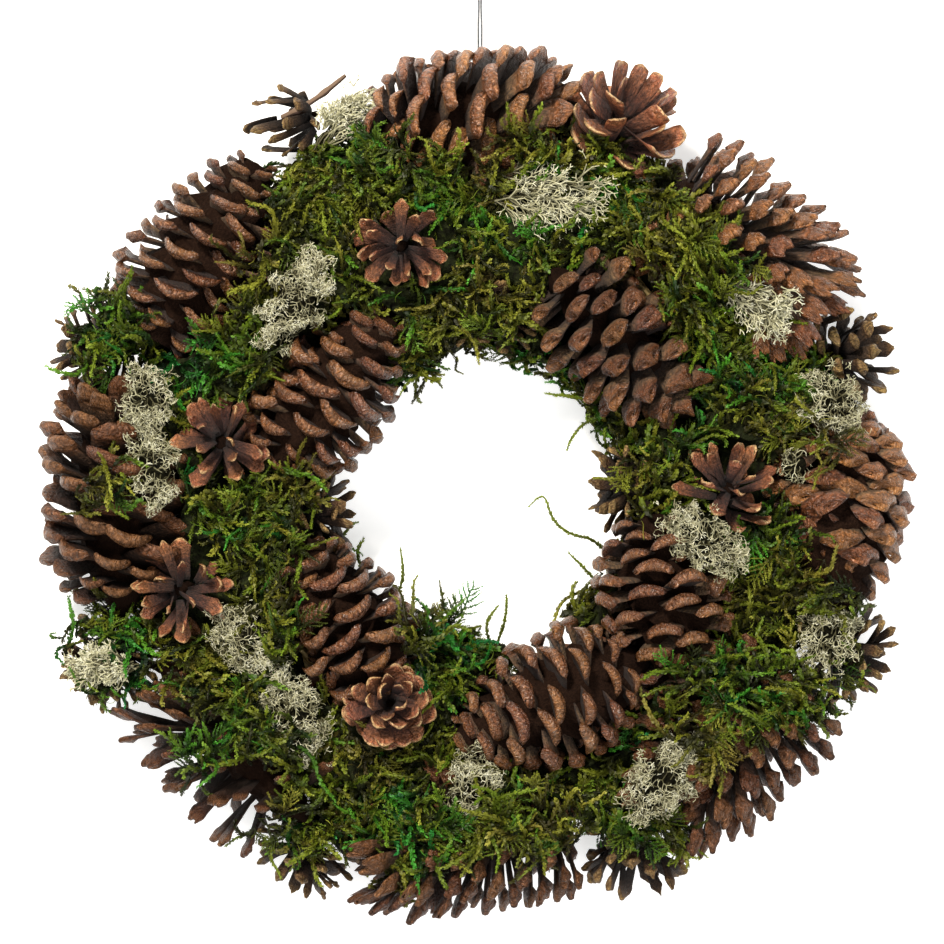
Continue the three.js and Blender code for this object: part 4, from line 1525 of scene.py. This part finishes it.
@dataclass(frozen=True)
class MossCover:
    """A patch where moss lies over the cones: its middle, half its length and width, and its turn."""

    x: float
    y: float
    long: float
    wide: float
    turn: float = 0.0

    def holds(self, points: Array) -> Array:
        """Which points lie under the patch in plan, (n,)."""
        long, wide = turned(points[:, :2] - [self.x, self.y], self.turn)
        return (long / (self.long + COVER_MARGIN)) ** 2 + (wide / (self.wide + COVER_MARGIN)) ** 2 < 1

    def scatter(self, rng: Rng, density: float) -> Array:
        """Scatters points over the patch.

        Args:
            rng: The source of chance.
            density: Points for each square millimetre.

        Returns:
            Their places in plan, (n, 2).
        """
        count = rng.poisson(math.pi * self.long * self.wide * density)
        turn = rng.uniform(0, 2 * np.pi, count)
        edge = 1 + 0.12 * np.sin(3 * turn + self.x) + 0.1 * np.sin(5 * turn + self.y)
        away = np.sqrt(rng.random(count)) * edge
        long, wide = away * np.cos(turn) * self.long, away * np.sin(turn) * self.wide
        c, s = math.cos(math.radians(self.turn)), math.sin(math.radians(self.turn))
        return np.stack([self.x + long * c - wide * s, self.y + long * s + wide * c], -1)


COVER_SPOTS = (
    (-47.7, 130, 25, 12), (-12, 121, 31, 11), (27.7, 134, 20, 9), (50, 123.6, 16, 12),
    (-78, 108, 9, 5, -10), (-92, 88, 5, 3, 20), (-149, 59, 15.5, 15), (-82, 66, 26, 10, 10),
    (-151, -1, 10, 9), (-148, -70, 18, 18), (-94, -90, 37, 16, 133), (-112, -112, 10, 7, 90),
    (-24, -136, 42, 16), (26, -137.5, 24, 15), (-33.5, -158, 5, 8), (-70, -141, 20, 11),
    (66.5, -143, 20, 9), (109, -86.5, 31, 11, -20), (91, -103, 16, 9, -45), (132, -82, 20, 12),
    (120, -33, 12, 20), (144, -45, 15, 6, -25), (140, 13, 10, 4, -30), (136, 32, 16, 12), (89, 81, 20, 15),
    (73, 104, 9, 20), (100, 60, 16, 6, -20), (87, 68, 12, 8, -45), (81, 100, 12, 8, -45), (-78, -60, 7, 20),
    (-88, 52, 6, 16), (1, 68, 19, 9), (-77, -13, 8, 20), (71, -1, 8, 18), (-19, -70, 10, 16),
)
COVERS = tuple(MossCover(*spot) for spot in COVER_SPOTS)
GREEN_SPOTS = (
    (2, 99, 9), (-10, 112, 8), (-149, 60, 12), (-45, 138, 12), (-118, 46, 8), (-95, 47, 8), (-37, -133, 8),
    (148, -36, 8), (-114, -110, 10), (-84, -86, 8), (120, 47, 7), (91, 25, 7), (66, 141, 6),
)
TENDRILS = (
    (
        (57, -36, 34), (49, -25.3, 40), (37.9, -23.3, 42), (30.6, -17.1, 43), (27.7, -5.7, 42),
        (21.2, -11.8, 40),
    ),
    ((52, -46, 38), (46, -39, 41), (37.5, -30.6, 42)),
    ((-35, -53, 38), (-29.6, -41, 42), (-31.4, -28.6, 44)),
    ((8, -69, 36), (12, -58, 40), (12.2, -47.7, 42)),
    ((6, -70, 36), (3, -60, 40), (9, -52, 43)),
    ((49, 31, 38), (40, 33, 42), (27.7, 34.7, 44)),
    ((51, 24, 38), (44, 23, 41), (38, 15.5, 42), (37, 11, 41)),
    ((-22, 46, 40), (-24, 41, 43), (-29, 39, 44), (-31.4, 34, 43)),
    ((-34, -170, 22), (-38, -163, 34), (-36, -152, 46)),
)
GRASS_BLADE = ((80, -90, 64), (91, -83, 68), (99, -81, 69), (104, -86, 67), (104, -91, 64))


def ground(spots: Array) -> Array:
    """Height of the wreath under points of the plan: the moss mat or a cone that lies on it.

    Args:
        spots: Points, (n, 2).

    Returns:
        Heights, (n,).
    """
    radius = np.hypot(spots[:, 0], spots[:, 1])
    inner = 62 - 8 * spots[:, 1] / np.maximum(radius, 1)
    edges = np.stack([inner, inner + 1, inner + 14, *(0 * inner + edge for edge in MAT_EDGES)])
    high = np.full(len(spots), 12.0)
    for start, end, low, up in zip(edges[:-1], edges[1:], MAT_LEVELS[:-1], MAT_LEVELS[1:], strict=True):
        share = (radius - start) / (end - start)
        high = np.where((share >= 0) & (share <= 1), low + (up - low) * share, high)
    for cone in CONES:
        if cone.rise > FACING_RISE:
            continue
        along, across = turned(spots - [cone.x, cone.y], cone.heading)
        share = along / cone.length + 0.5
        edge = cone.radius * read(OUTLINE, share)
        over = (np.abs(across) < edge) & (share > 0) & (share < 1)
        top = cone.z + np.sqrt(np.maximum(edge**2 - across**2, 0))
        high = np.where(over, np.maximum(high, top), high)
    return high


def under_growth(points: Array) -> Array:
    """Which points of the upper half of a cone lie under moss or in lichen, (n,)."""
    covered = np.any([cover.holds(points) for cover in COVERS], axis=0)
    wrapped = np.any([tuft.clear_of(points) < 0 for tuft in TUFTS], axis=0)
    return (covered | wrapped) & (points[:, 2] > UPPER_HALF)


def smooth(path: Bends) -> Array:
    """A smooth line near a path of a few points, (n, 3)."""
    course = np.array(path, float)
    for _ in range(3):
        first, last = course[:-1], course[1:]
        middle = np.stack([first * 0.75 + last * 0.25, first * 0.25 + last * 0.75], 1)
        course = np.vstack([course[:1], middle.reshape(-1, 3), course[-1:]])
    return course


@dataclass
class MossClump:
    """One clump of the moss that covers the ring: a felted mat in dark painted shade with a thick coat of
    shoots.
    """

    number: int
    node: Piece
    coats: tuple[Coat, ...]
    margin: float = 0.4
    ring_margin: tuple[float, float] = (1.0, 3.5)
    felt_mm: float = 2.5
    first_seam: float = 8.0
    sector: float = 30.0
    cover_gain: float = 1.15
    cover_lift: float = 2.0
    root_depth: float = 4.6
    green: float = 0.15

    @property
    def name(self) -> str:
        """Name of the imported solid."""
        return f"moss_clump_{self.number:02d}"

    def owns(self, points: Array) -> Array:
        """Which points lie in this clump's part of the ring."""
        turn = np.degrees(np.arctan2(points[:, 1], points[:, 0])) - self.first_seam
        return np.floor((turn % 360) / self.sector).astype(int) == self.number - 1

    def surface(self) -> tuple[Array, Array]:
        """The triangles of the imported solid, (n, 3, 3) in millimetres, and their outward normals."""
        data = self.node.data
        data.calc_loop_triangles()
        co = np.empty(len(data.vertices) * 3)
        data.vertices.foreach_get("co", co)
        tri = np.empty(len(data.loop_triangles) * 3, int)
        data.loop_triangles.foreach_get("vertices", tri)
        corners = co.reshape(-1, 3)[tri.reshape(-1, 3)] / MM
        normal = np.cross(corners[:, 1] - corners[:, 0], corners[:, 2] - corners[:, 0])
        return corners, normal

    def mat_roots(self, rng: Rng, density: float) -> tuple[Array, Array]:
        """Scatters roots over the open outside of the clump.

        Args:
            rng: The source of chance.
            density: Roots for each square millimetre.

        Returns:
            The roots and the directions that the surface faces there.
        """
        corners, normal = self.surface()
        area = np.linalg.norm(normal, axis=-1) / 2
        facing = unit(normal)
        count = rng.poisson(area.sum() * density)
        pick = rng.choice(len(area), count, p=area / area.sum())
        a, b = rng.random((2, count))
        flip = a + b > 1
        a[flip], b[flip] = 1 - a[flip], 1 - b[flip]
        tri = corners[pick]
        point = tri[:, 0] + a[:, None] * (tri[:, 1] - tri[:, 0]) + b[:, None] * (tri[:, 2] - tri[:, 0])
        face = facing[pick]
        radius = np.hypot(point[:, 0], point[:, 1])
        around = (-point[:, 1] * face[:, 0] + point[:, 0] * face[:, 1]) / radius
        keep = (face[:, 2] > -0.35) & (np.abs(around) < 0.86)
        for thing in (*CONES, *TUFTS):
            keep &= thing.clear_of(point) > self.margin
        aside, above = self.ring_margin
        on_ring = np.abs(radius - RING_MIDDLE) < RING_HALF_WIDTH + aside
        keep &= ~(on_ring & (point[:, 2] < RING_HEIGHT + above))
        return point[keep], face[keep]

    def cover_roots(self, density: float) -> tuple[Array, Array]:
        """Scatters roots over the patches where the moss lies on the cones.

        Args:
            density: Roots for each square millimetre.

        Returns:
            The roots and the directions that the ground faces there.
        """
        rng = np.random.default_rng(int(density * 1e5))
        spots = np.concatenate([cover.scatter(rng, density) for cover in COVERS])
        high = ground(spots)
        step = 1.5
        slope = np.stack([ground(spots + [step, 0]) - high, ground(spots + [0, step]) - high], -1) / step
        face = unit(np.column_stack([-np.clip(slope, -1.2, 1.2), np.ones(len(spots))]))
        point = np.column_stack([spots, high]) + face * self.cover_lift
        keep = self.owns(point)
        for tuft in TUFTS:
            keep &= tuft.clear_of(point) > self.margin
        return point[keep], face[keep]

    def plant(self, sketch: Sketch, rng: Rng, coat: Coat) -> None:
        """Plants one coat of shoots over the clump and its patches.

        The shoots flow in swirls over lumps. A deep one is painted darker, as shade, and the greens drift in
        patches.

        Args:
            sketch: The piece's points and faces.
            rng: The source of chance.
            coat: The shoots.
        """
        own, cover = self.mat_roots(rng, coat.per_mm2), self.cover_roots(coat.per_mm2 * self.cover_gain)
        root, face = np.concatenate([own[0], cover[0]]), np.concatenate([own[1], cover[1]])
        count, plan = len(root), root[:, :2]
        thick = np.where(np.arange(count) < len(own[0]), 1.0, 0.8)
        flow = 2.6 * waves(plan, 46, 5) + 1.4 * waves(plan, 15, 6) + rng.normal(0, 0.7, count)
        lie = np.stack([np.cos(flow), np.sin(flow), 0.1 * np.ones(count)], -1)
        lie = unit(lie - face * np.sum(lie * face, -1, keepdims=True) * 0.9)
        frames = frames_along(lie, face + rng.normal(0, 0.35, (count, 3)))
        frames = frames * rng.uniform(0.7, 1.25, count)[:, None, None]
        depth = coat.deepest * rng.random(count) ** 1.2
        lumps = 2.8 * waves(root, 16, 21) + 1.8 * waves(root, 7.5, 22)
        start = root + face * ((lumps - self.root_depth * depth + 1.0) * thick)[:, None]
        kind = 0.52 + 0.17 * waves(plan, 50, 11) + 0.17 * waves(plan, 12, 12) + rng.normal(0, 0.06, count)
        for x, y, size in GREEN_SPOTS:
            near = np.exp(-((plan[:, 0] - x) ** 2 + (plan[:, 1] - y) ** 2) / size**2)
            kind = kind + (self.green - kind) * 0.85 * near
        kind = np.clip(kind, 0.03, 0.97) / 2
        # Painted shade: the deeper a shoot roots, the darker it is coloured.
        light = (1 - 0.72 * depth)[:, None, None]
        pick = rng.integers(0, len(coat.shoots), count)
        for number, shoot in enumerate(coat.shoots):
            mine = pick == number
            u = np.clip(shoot.places[..., 0] + kind[mine][:, None, None], 0.001, 0.499)
            v = np.clip(shoot.places[..., 1] * light[mine], 0.002, 0.998)
            points = placed(shoot.points, frames[mine], start[mine])
            points[..., 2] = np.maximum(points[..., 2], LEAST_HEIGHT)
            sketch.add(points, shoot.faces, np.stack([u, v], -1))

    def strays(self, sketch: Sketch, rng: Rng) -> None:
        """Adds the loose tendrils that hang out of the clump and a dry blade of grass.

        Args:
            sketch: The piece's points and faces.
            rng: The source of chance.
        """
        for path in TENDRILS:
            course = smooth(path)
            if self.owns(course[:1])[0]:
                points, faces, places = leafy(rng, course, 1.5, 0.65, 0.5, 0.35)
                sketch.add(points, faces, np.clip(places + [0.24, 0], 0.002, 0.998))
        course = smooth(GRASS_BLADE)
        if self.owns(course[:1])[0]:
            points, faces, places = sweep(course, np.full(len(course), 0.3), 5)
            sketch.add(points, faces, places * [0.006, 0.1] + [0.36, 0.88])

    def felt(self, sketch: Sketch) -> None:
        """Adds the mat below the shoots, in dark painted shade: the solid's own outside, cut finer and
        roughened inward.

        Args:
            sketch: The piece's points and faces.
        """
        sheet = cut_finer(self.node.data)
        points = np.array([v.co for v in sheet.verts]) / MM
        normals = np.array([v.normal for v in sheet.verts])
        faces = np.array([[v.index for v in f.verts] for f in sheet.faces])
        sheet.free()
        depth = np.clip(self.felt_mm * (0.55 + 0.45 * waves(points, 7, self.number)), 0.2, None)
        radius = np.maximum(np.hypot(points[:, 0], points[:, 1]), 1)
        around = np.abs(points[:, 0] * normals[:, 1] - points[:, 1] * normals[:, 0]) / radius
        depth = np.where(around > 0.6, -0.8, depth)
        points = points - normals * depth[:, None]
        points[:, 2] = np.maximum(points[:, 2], LEAST_HEIGHT)
        sketch.add(points, faces, plan_places(points, faces), 1)

    def build(self, strand: Material, mat: Material) -> Piece:
        """Builds the clump.

        Args:
            strand: Finish of the shoots.
            mat: Finish of the felted mat, dark with painted shade.

        Returns:
            The piece, which stands for the solid of the same name.
        """
        rng = np.random.default_rng(700 + self.number)
        sketch = Sketch()
        self.felt(sketch)
        for coat in self.coats:
            self.plant(sketch, rng, coat)
        self.strays(sketch, rng)
        return sketch.stand_for(self.name, "shoots", [strand, mat])


def cut_finer(data: bpy.types.Mesh) -> bmesh.types.BMesh:
    """A triangle copy of a mesh, merged and cut so that no edge is much over 5 mm.

    Args:
        data: The mesh, which stays as it is.

    Returns:
        The copy, which the caller frees.
    """
    sheet = bmesh.new()
    sheet.from_mesh(data)
    bmesh.ops.remove_doubles(sheet, verts=sheet.verts, dist=1e-6)
    bmesh.ops.triangulate(sheet, faces=sheet.faces)
    for limit in (0.02, 0.01, 0.006):
        long = [e for e in sheet.edges if e.calc_length() > limit]
        bmesh.ops.subdivide_edges(sheet, edges=long, cuts=1, use_grid_fill=False)
        bmesh.ops.triangulate(sheet, faces=sheet.faces)
    sheet.normal_update()
    sheet.verts.index_update()
    return sheet


# ---------------------------------------------------------------- ring, twig and line


@dataclass
class StrawRing:
    """The straw ring that carries the wreath: stalks pressed to a ring and bound with twine.

    The straw uses the left three quarters of the map, in eighteen stripes, and the twine the rest.
    """

    middle: float = RING_MIDDLE
    half_width: float = RING_HALF_WIDTH
    height: float = RING_HEIGHT
    stalks: int = 1100
    stalk: float = 1.35
    stalk_steps: int = 8
    turns: int = 44
    turn_steps: int = 26
    twine: float = 0.55
    seed: int = 7

    def section(self, around: Array, inset: float) -> tuple[Array, Array]:
        """The ring's outline: flat at the back and rounded at the front.

        Args:
            around: Angle round the section, in radians, 0 outward.
            inset: How far inside the outline, in millimetres.

        Returns:
            Distance from the middle of the ring and height, in millimetres.
        """
        c, s = np.cos(around), np.sin(around)
        wide = self.half_width - inset
        tall = self.height / 2 - inset
        out = wide * np.sign(c) * np.abs(c) ** 0.8
        up = self.height / 2 + tall * np.sign(s) * np.abs(s) ** 0.7
        narrow = np.interp(up, [0, 5, 15, 26, 33], [0.66, 0.9, 1.0, 0.84, 0.55])
        return out * narrow, up

    def path(self, course: Array, out: Array, up: Array) -> Array:
        """Points, (..., 3), at the angles course round the ring, from their places in its section."""
        radius = self.middle + out
        return np.stack([radius * np.cos(course), radius * np.sin(course), up], -1)

    def body(self, sketch: Sketch) -> None:
        """Adds the closed body of pressed straw below the stalks.

        Args:
            sketch: The piece's points and faces.
        """
        rings, sides = 72, 24
        out, up = self.section(2 * np.pi * np.arange(sides) / sides, 1.6)
        phi = (2 * np.pi * np.arange(rings) / rings)[:, None]
        points = self.path(phi, out, up + 0 * phi).reshape(-1, 3)
        faces, places = grid_faces(rings + 1, sides)
        sketch.add(points, faces[:, TURNED_OVER] % len(points), places[:, TURNED_OVER, ::-1] * [0.75, 1])

    def build(self, straw: Material, twine: Material) -> Piece:
        """Builds the ring.

        Args:
            straw: Finish of the stalks.
            twine: Finish of the binding.

        Returns:
            The piece, which stands for the solid straw_ring.
        """
        rng = np.random.default_rng(self.seed)
        sketch = Sketch()
        self.body(sketch)
        t = np.linspace(0, 1, self.stalk_steps)
        for _ in range(self.stalks):
            course = rng.uniform(0, 2 * np.pi) + rng.uniform(0.35, 1.1) * t
            around = rng.uniform(0, 2 * np.pi) + rng.normal(0, 0.35) * t
            out, up = self.section(around, self.stalk + 0.1 + abs(rng.normal(0, 0.5)))
            path = self.path(course, out, np.maximum(up, self.stalk + 0.05))
            thick = self.stalk * rng.uniform(0.6, 1.0) * np.ones(self.stalk_steps)
            points, faces, places = sweep(path, thick, 5)
            stripe = rng.integers(0, STRAW.stripes * 3 // 4)
            u = (stripe + 0.04 + 0.92 * places[..., 0]) / STRAW.stripes
            sketch.add(points, faces, np.stack([u, places[..., 1] * 0.96 + 0.02], -1))
        t = np.linspace(0, 1, self.turns * self.turn_steps)
        out, up = self.section(2 * np.pi * self.turns * t, -0.25)
        path = self.path(2 * np.pi * t * 0.999, out, np.maximum(up, self.twine + 0.02))
        points, faces, places = sweep(path, np.full(len(t), self.twine), 6)
        v = (places[..., 1] * self.turns) % 0.97 * 0.98 + 0.01
        sketch.add(points, faces, np.stack([0.8 + 0.18 * places[..., 0], v], -1), 1)
        return sketch.stand_for("straw_ring", "stalks", [straw, twine])


@dataclass
class ConeTwig:
    """The bit of bare twig below the small cone at the top left."""

    bends: Bends = ((-80, 148, 38), (-74, 151, 40), (-65, 157, 39), (-54, 165.5, 37))
    radius: float = 1.8

    def build(self, bark: Material) -> Piece:
        """Builds the twig, with knots and a slight bend.

        Args:
            bark: Finish of its bark.

        Returns:
            The piece, which stands for the solid cone_twig.
        """
        t = np.linspace(0, 1, 24)
        bends = np.array(self.bends, float)
        path = on_line(bends, np.linspace(0, 1, len(bends)), t)
        path[:, 0] += 0.8 * np.sin(np.pi * t)
        path[:, 2] += 0.5 * np.sin(2 * np.pi * t)
        knots = np.exp(-(((t - 0.3) / 0.05) ** 2)) + np.exp(-(((t - 0.72) / 0.05) ** 2))
        thick = self.radius * (0.72 + 0.28 * knots) * np.interp(t, [0, 0.9, 1], [1, 0.85, 0.6])
        points, faces, places = sweep(path, thick, 12)
        sketch = Sketch()
        sketch.add(points, faces, places * 0.96 + 0.02)
        return sketch.stand_for("cone_twig", "bark", [bark])


@dataclass
class HangerLine:
    """The thin line that the wreath hangs by, a loop from the back of the ring up past the top cone."""

    diameter: float = 0.8
    middle: float = 1.3
    leg: float = 0.7
    root_y: float = 126.5
    root_z: float = 5.0
    neck_y: float = 206.0
    end_y: float = 222.0
    bulge: float = 3.6

    def course(self) -> Array:
        """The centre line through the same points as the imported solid, (n, 3) in millimetres."""
        floor = self.diameter / 2 + 0.1
        rows = (
            (self.leg, self.root_y, self.root_z),
            (self.leg, self.root_y + 8, self.root_z * 0.55),
            (self.leg, self.root_y + 20, floor + 0.3),
            (self.leg, self.root_y + 36, floor),
            (self.leg, self.neck_y - 18, floor),
            (self.leg + 0.2, self.neck_y, floor),
            (self.bulge, self.end_y - 7, floor),
            (self.bulge * 0.7, self.end_y - 1.5, floor),
        )
        half = np.array(rows)
        knots = np.vstack([half, [[0, self.end_y, floor]], half[::-1] * [-1, 1, 1]]) + [self.middle, 0, 0]
        ends = np.vstack([2 * knots[0] - knots[1], knots, 2 * knots[-1] - knots[-2]])
        found = []
        for k in range(1, len(ends) - 2):
            p = ends[k - 1 : k + 3]
            gaps = np.linalg.norm(np.diff(p, axis=0), axis=-1) ** 0.5
            times = np.concatenate([[0], np.cumsum(gaps)])
            for t in np.linspace(times[1], times[2], 6, endpoint=False):
                layer = p
                for low, high in ((times[:3], times[1:]), (times[:2], times[2:]), (times[1:2], times[2:3])):
                    share = ((t - low) / (high - low))[:, None]
                    layer = layer[:-1] * (1 - share) + layer[1:] * share
                found.append(layer[0])
        return np.vstack([found, knots[-1:]])

    def build(self, wire: Material) -> Piece:
        """Args:
            wire: Finish of the line.

        Returns:
            The piece, which stands for the solid hanger_line.
        """
        course = self.course() * MM
        data = bpy.data.curves.new("hanger_wire", "CURVE")
        data.dimensions = "3D"
        data.bevel_depth = self.diameter / 2 * MM
        data.bevel_resolution = 3
        data.use_fill_caps = True
        spline = data.splines.new("POLY")
        spline.points.add(len(course) - 1)
        spline.points.foreach_set("co", np.column_stack([course, np.ones(len(course))]).ravel())
        data.materials.append(wire)
        piece = bpy.data.objects.new("hanger_wire", data)
        bpy.context.scene.collection.objects.link(piece)
        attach(piece, BODY)
        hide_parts("hanger_line")
        return piece


# ---------------------------------------------------------------- studio


@dataclass
class Studio:
    """The camera straight above the wreath, a white table and soft light."""

    distance: float = 1700.0
    plane: float = 50.0
    centre: tuple[float, float] = (-2.0, 2.4)
    field_of_view: float = 385.2
    sensor: float = 36.0
    table: float = 6000.0
    cells: int = 12

    def set_camera(self) -> None:
        """Sets up the scene's camera, which looks down along the way that the photo was taken."""
        data = bpy.data.cameras.new("camera")
        data.sensor_width = self.sensor
        data.lens = self.sensor * self.distance / self.field_of_view
        data.clip_start, data.clip_end = 0.05, 50.0
        camera = bpy.data.objects.new("camera", data)
        camera.location = Vector((*self.centre, self.plane + self.distance)) * MM
        bpy.context.scene.collection.objects.link(camera)
        bpy.context.scene.camera = camera

    def set_table(self, paper: Material) -> None:
        """Lays the table that the wreath rests on, which isn't part of the object.

        Args:
            paper: Finish of the table.
        """
        cells = self.cells
        line = np.linspace(-self.table / 2, self.table / 2, cells + 1)
        x, y = np.meshgrid(line, line, indexing="ij")
        points = np.stack([x, y, np.full_like(x, -0.05)], -1).reshape(-1, 3)
        row, col = np.meshgrid(np.arange(cells), np.arange(cells), indexing="ij")
        first = row * (cells + 1) + col
        faces = np.stack([first, first + cells + 1, first + cells + 2, first + 1], -1).reshape(-1, 4)
        sketch = Sketch()
        sketch.add(points, faces, points[faces][..., :2] / self.table + 0.5)
        sketch.finish("table_paper", [paper])

    def light(self, name: str, place: Spot, size: float, power: float, colour: str) -> None:
        """Hangs one soft lamp that faces the wreath.

        Args:
            name: Name of the lamp.
            place: Where it hangs, in metres.
            size: Side of its square, in metres.
            power: Its power in watts.
            colour: Its colour.
        """
        data = bpy.data.lights.new(name, "AREA")
        data.size = size
        data.energy = power
        data.color = linear(colour)[:3]
        lamp = bpy.data.objects.new(name, data)
        lamp.location = place
        lamp.rotation_euler = (Vector((0, 0, 0.04)) - Vector(place)).to_track_quat("-Z", "Y").to_euler()
        bpy.context.scene.collection.objects.link(lamp)

    def set_lights(self) -> None:
        """Sets the sky of the studio, the key lamp at the upper left and a weak, broad one opposite."""
        world = bpy.data.worlds.new("studio")
        bpy.context.scene.world = world
        world.use_nodes = True
        world.node_tree.nodes.clear()
        sky = add_node(world.node_tree, "Background", {"Color": linear("#f8f7f4"), "Strength": 0.5})
        add_node(world.node_tree, "OutputWorld", {"Surface": sky})
        self.light("key_lamp", (-0.7, 1.35, 2.1), 0.4, 115.0, "#fff8ee")
        self.light("fill_lamp", (0.55, -0.85, 2.15), 1.4, 37.0, "#f9f8fa")
        view = bpy.context.scene.view_settings
        view.view_transform = "Standard"
        view.look = "None"
        view.exposure = 0.0


# ---------------------------------------------------------------- the wreath


def main() -> None:
    logging.basicConfig(level=logging.INFO, format="%(name)s: %(message)s", stream=sys.stdout)
    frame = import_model()
    studio = Studio()
    studio.set_camera()
    HangerLine().build(DrawnWireFinish().make())
    woods = dict.fromkeys(ConeMake, LARGE_SCALE_WOOD.make())
    woods |= dict.fromkeys((ConeMake.FANNED, ConeMake.STRAPS, ConeMake.SHUT), PALE_SCALE_WOOD.make())
    woods |= dict.fromkeys((ConeMake.EDGE, ConeMake.BLADES, ConeMake.STUBS), SMALL_SCALE_WOOD.make())
    woods |= dict.fromkeys((ConeMake.SPOONS, ConeMake.ROSE, ConeMake.ROSETTE), ROSETTE_SCALE_WOOD.make())
    shaded, heart = SHADED_SCALE_WOOD.make(), CONE_HEART.make()
    pieces = [
        PineCone(place, 100 + number).build(shaded if place.shaded else woods[place.make], heart)
        for number, place in enumerate(CONES)
    ]
    lichen, lichen_base = LICHEN.make(), LICHEN_MAT.make()
    pieces += [LichenTuft(place, 300 + n).build(lichen, lichen_base) for n, place in enumerate(TUFTS)]
    moss, moss_mat, coats = MOSS.make(), MOSS_MAT.make(), moss_coats()
    for number in range(1, 13):
        node = frame["nodes"][f"moss_clump_{number:02d}"]
        pieces.append(MossClump(number, node, coats).build(moss, moss_mat))
    pieces.append(StrawRing().build(STRAW.make(), TWINE.make()))
    pieces.append(ConeTwig().build(BARK.make()))
    for piece in pieces:
        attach(piece, BODY)
    studio.set_table(BackdropFinish().make())
    studio.set_lights()
    log.info("%d faces in all", sum(len(p.data.polygons) for p in pieces))


if __name__ == "__main__":
    main()
